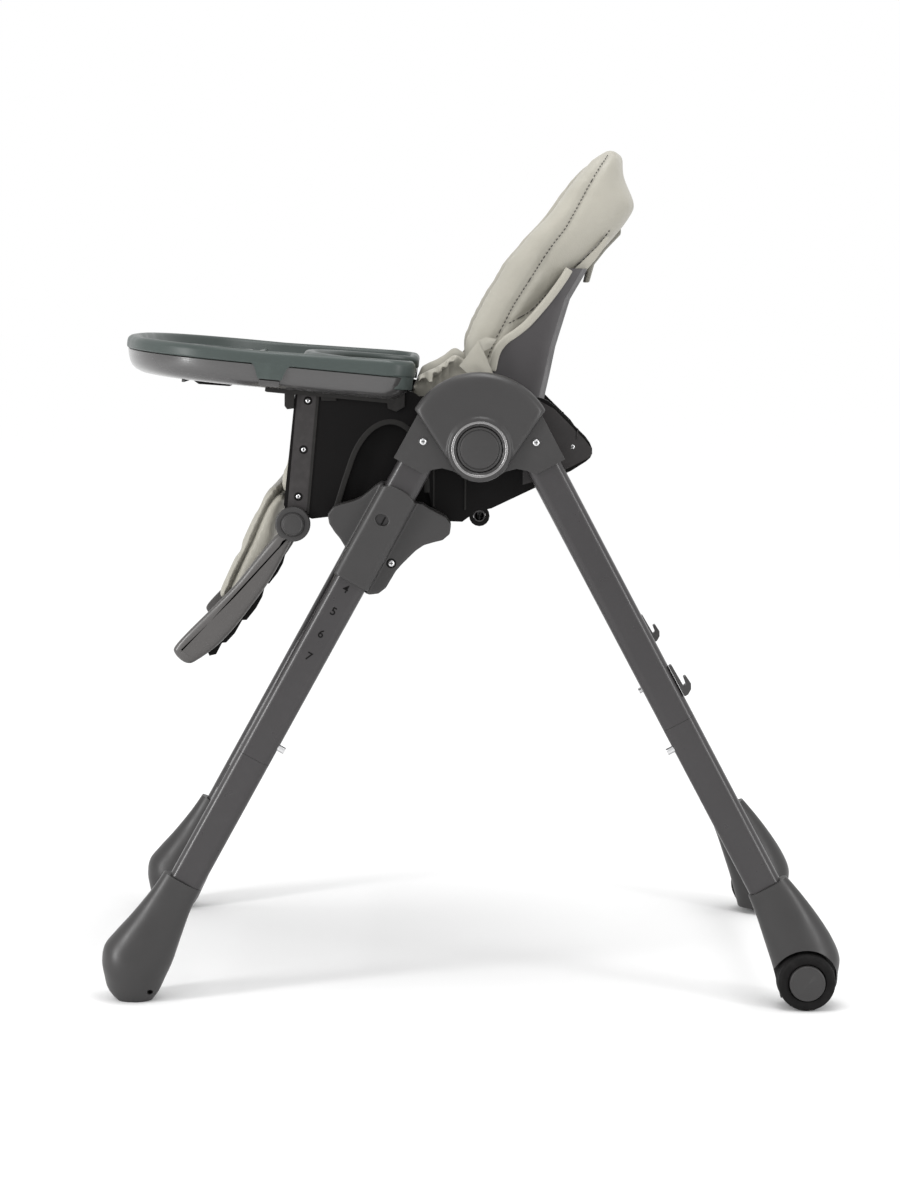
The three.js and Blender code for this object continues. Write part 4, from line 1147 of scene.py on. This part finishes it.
# Across the hem: x from the shell's half width, and how far it stands proud of the edge.
HEM_SECTION = [(-15, -1), (-8, 2.6), (-1, 3.6), (2.2, 2.2), (2.6, -1), (2.2, -6.5), (0.9, -6.5), (0.8, 0),
               (-6, 0.8), (-15, -3)]


def make_hems():
    """Pale tape that wraps from the pad's side round the front edge of the shell."""
    for side, sign in SIDES.items():
        rows = smooth_rows(HEM_LINE, 5)
        rings = []
        for k, (y, z, half) in enumerate(rows):
            ahead, behind = rows[min(k + 1, len(rows) - 1)], rows[max(k - 1, 0)]
            along = Vector((ahead[0] - behind[0], ahead[1] - behind[1])).normalized()
            forward = Vector((-along.y, along.x))
            rings.append([(sign * (half + x) * MM, *((Vector((y, z)) + push * forward) * MM))
                          for x, push in HEM_SECTION])
        hem = loft(f"backrest_hem_{side}", rings)
        dress(rounded(hem), "pad_fabric", "backrest")


# Binding of the cover below its rear seam: outer edge down, then the seam back up.
BINDING = [(157, 900), (152, 888), (143, 875), (131, 861), (117, 846), (77, 814), (62, 800), (66, 813),
           (83, 831), (103, 849), (125, 870), (143, 888), (152, 899)]


def make_bindings():
    levels = [(142, 0.6), (143, 0), (146, 0), (147, 0.6)]
    for side, sign in SIDES.items():
        edge = moulded_plate(f"backrest_binding_{side}", BINDING, levels, sign)
        dress(soften(edge, angle=50), "pad_fabric", "backrest")


# ------------------------------------------------------------------ seat pad and calf pad

# Stations along the seat, front to back: y, base underside, base top, wing top, lip reach, lip drop.
SEAT_STATIONS = [
    (-231, 600, 611, 616, 0, 0), (-224, 594, 617, 640, 0, 0), (-208, 593, 619, 692, 0, 0),
    (-150, 589, 612, 697, 0, 0), (-100, 586, 608, 697, 0, 0), (-80, 585, 607, 704, 0, 0),
    (-70, 584, 607, 738, 17, 10), (-58, 583, 607, 744, 19, 13), (-46, 582, 607, 749, 20, 18),
    (-34, 582, 607, 755, 20, 15), (-24, 582, 607, 764, 18, 10), (-12, 582, 608, 762, 6, 4),
    (-2, 590, 613, 752, 0, 0), (8, 600, 616, 735, 0, 0), (13, 606, 616, 700, 0, 0),
]


def seat_ring(y, under, top, wing, reach, drop):
    """The tub-shaped outline of the seat pad at one place; the lip folds out over the armrest."""
    lip = [(188, wing), (190 + 0.6 * reach, wing - 1), (192 + reach, wing - drop)] if reach > 3 else [
        (186, wing), (190, wing - 1), (192, wing - 4)]
    inner_lip = [(190 + 0.85 * reach, wing - drop + 1), (190 + 0.5 * reach, wing - 7)] if reach > 3 else [
        (192, wing - 6), (192, wing - 8)]
    right = [
        (0, under), (120, under), (182, under + 1), (192, under + 9), (193, (under + wing) / 2),
        (192.5, wing - 14), *reversed(inner_lip), *reversed(lip), (181, wing - 5), (179, wing - 16),
        (179, (top + wing) / 2), (176, top + 8), (164, top), (120, top + 2), (60, top + 1), (0, top),
    ]
    ring = right + [(-x, z) for x, z in reversed(right[1:-1])]
    return [mm(x, y, z) for x, z in smooth_ring(ring, 2)]


def make_seat_pad():
    rings = [seat_ring(*row) for row in smooth_rows(SEAT_STATIONS, 3)]
    pad = loft("seat_cushion", rings)
    inflate(pad, 0.006, 0.004, relax=3)
    quilt = []
    for x in (-90, 90):
        quilt.append(on_surface(pad, dense([mm(x, -215, 660), mm(x, -10, 660)]), (0, 0, -1)))
    for y in (-165, -105, -45):
        quilt.append(on_surface(pad, dense([mm(-165, y, 660), mm(165, y, 660)]), (0, 0, -1)))
    gathers = []
    for sign in SIDES.values():
        for y, low, high in ((-62, 726, 742), (-49, 722, 748), (-39, 728, 751), (-31, 732, 757)):
            fold = dense([mm(sign * 240, y, low), mm(sign * 240, y + 3, high)])
            gathers.append(on_surface(pad, fold, (-sign, 0, 0)))
    press_seams(pad, quilt, 0.004, 0.008)
    press_seams(pad, gathers, 0.004, 0.0022)
    dress(pad, "pad_fabric", "seat", ["seat_pad"])
    for k, line in enumerate(quilt):
        stitches(f"seat_quilt_seam_{k}", line, "seat", PALE_THREAD, 0.0005, 0.0036)


# Tie of the cover: a tape from behind the pad, folded down over the armrest; x, y, z in millimetres.
TIE_TAPE = [(194, 24, 779), (199, 11, 781), (204, 3, 777), (201, 9, 765), (196, 17, 769)]
TIE_FLAP = [(204, 3, 777), (202, -19, 748), (204, -10, 740), (206, 4, 737), (207, 21, 738), (204.5, 9, 765)]


def make_cover_ties():
    for side, sign in SIDES.items():
        bm = bmesh.new()
        for outline in (TIE_TAPE, TIE_FLAP):
            corners = [bm.verts.new(mm(sign * x, y, z)) for x, y, z in outline]
            middle = bm.verts.new(sum((corner.co for corner in corners), Vector()) / len(corners)
                                  + Vector((sign * 0.002, 0, 0)))
            for first, last in zip(corners, corners[1:] + corners[:1]):
                bm.faces.new((first, last, middle))
        bmesh.ops.remove_doubles(bm, verts=bm.verts, dist=1e-4)
        bmesh.ops.subdivide_edges(bm, edges=bm.edges, cuts=3, use_grid_fill=True)
        for vertex in bm.verts:
            vertex.co.x += sign * 0.0005 * math.sin(vertex.co.y * 420 + vertex.co.z * 260)
        tie = link(f"cover_tie_{side}", mesh_from(bm, f"cover_tie_{side}"))
        modify(tie, "SOLIDIFY", thickness=0.0016, offset=0)
        apply_modifiers(tie).data.shade_smooth()
        tie.data.set_sharp_from_angle(angle=math.radians(50))
        dress(tie, "pad_fabric", "seat")


# Side view (y, z) of the cover where it runs from the seat up to the backrest: front face, then back face.
BRIDGE = [(-14, 613), (2, 612), (16, 614), (27, 624), (35, 642), (43, 664), (49, 662), (42, 638), (34, 618),
          (22, 607), (4, 605), (-12, 606)]


def make_bridge():
    outline = smooth_ring(BRIDGE, 4)
    levels = [(-164, 1.6), (-161, 0.4), (-158, 0), (-80, -0.6), (0, -0.8)]
    levels += [(-x, inset) for x, inset in reversed(levels[:-1])]
    bridge = rounded(moulded_plate("cover_bridge", outline, levels))
    dress(bridge, "pad_fabric")
    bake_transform(bridge)


# Side views (y, z) of the two layers of the calf pad, front face then back face.
CALF_LAYERS = {
    "front": ([(-229, 606), (-238, 602), (-247, 588), (-262, 558), (-280, 518), (-300, 474), (-303, 466)],
              [(-297, 466), (-291, 478), (-272, 519), (-254, 558), (-241, 584), (-234, 595), (-228, 599)]),
    "rear": ([(-226.5, 600), (-234, 592), (-252.5, 560), (-270.5, 522), (-288.5, 482), (-291, 473)],
             [(-284, 471), (-276, 480), (-256, 512), (-240, 540), (-236, 556), (-226, 584), (-221, 594)]),
}


def make_calf_pad():
    for layer, (face, back) in CALF_LAYERS.items():
        outline = smooth_ring(face + back, 3)
        centre = sum((Vector(point) for point in outline), Vector((0, 0))) / len(outline)
        rings = []
        for x, share in ((-190, 0.93), (-186, 0.99), (-150, 1), (-75, 1), (0, 1), (75, 1), (150, 1),
                         (186, 0.99), (190, 0.93)):
            rings.append([(x * MM, *((centre + (Vector(point) - centre) * share) * MM)) for point in outline])
        pad = loft(f"calf_cushion_{layer}", rings)
        inflate(pad, 0.005, 0.003, relax=3)
        if layer == "front":
            seams = [on_surface(pad, dense([mm(-170, y, z), mm(170, y, z)]), (0, 0.87, -0.49))
                     for y, z in ((-252, 578), (-276, 526))]
            press_seams(pad, seams, 0.003, 0.007)
        dress(pad, "pad_fabric", replaced=["calf_pad"])
        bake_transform(pad)


# ------------------------------------------------------------------ harness

def make_harness():
    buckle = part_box("harness_buckle")
    entry = Vector((0.022, (buckle[0].y + buckle[1].y) / 2, (buckle[0].z + buckle[1].z) / 2 + 0.004))
    pad = bpy.data.objects["backrest_cushion"]
    for side, sign in SIDES.items():
        drop = on_surface(pad, [(sign * 0.052, (z - 655) * 0.45 * MM, z * MM) for z in range(872, 700, -8)],
                          (0, 1, 0), 0.2)
        path = [place + normal * 0.0016 for place, normal in drop]
        last = path[-1]
        path += [Vector(point) for point in smooth_rows([
            tuple(last), (sign * 0.050, last.y - 0.012, last.z - 0.030),
            (sign * 0.046, last.y - 0.035, last.z - 0.045),
            (sign * 0.034, entry.y + 0.02, entry.z + 0.008), (sign * entry.x, entry.y, entry.z)], 6)][1:]
        strap = ribbon(f"shoulder_webbing_{side}", path, (0.0125, 0, 0), 0.0016, None,
                       replaced=[f"shoulder_strap_{side}"])
        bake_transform(strap)
        waist = [Vector(point) for point in smooth_rows([
            (sign * 0.176, 0.000, 0.650), (sign * 0.160, -0.012, 0.646), (sign * 0.120, -0.030, 0.640),
            (sign * 0.070, -0.048, 0.641), (sign * entry.x, entry.y, entry.z)], 8)]
        ribbon(f"waist_webbing_{side}", waist, (0, 0.004, 0.0118), 0.0016, "seat")
    low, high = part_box("crotch_strap")
    route = [Vector((0, y * MM, z * MM)) for y, z in smooth_rows([
        (-119.5, 610.5), (-114, 622), (-106, 634), (-97, 641), (-84.5, 646.8)], 6)]
    ribbon("crotch_webbing", route, ((high.x - low.x) / 2, 0, 0), 0.0018, BODY_OF["crotch_strap"],
           replaced=["crotch_strap"])


make_backrest_pad()
make_hems()
make_bindings()
make_seat_pad()
make_bridge()
make_cover_ties()
make_calf_pad()
make_harness()
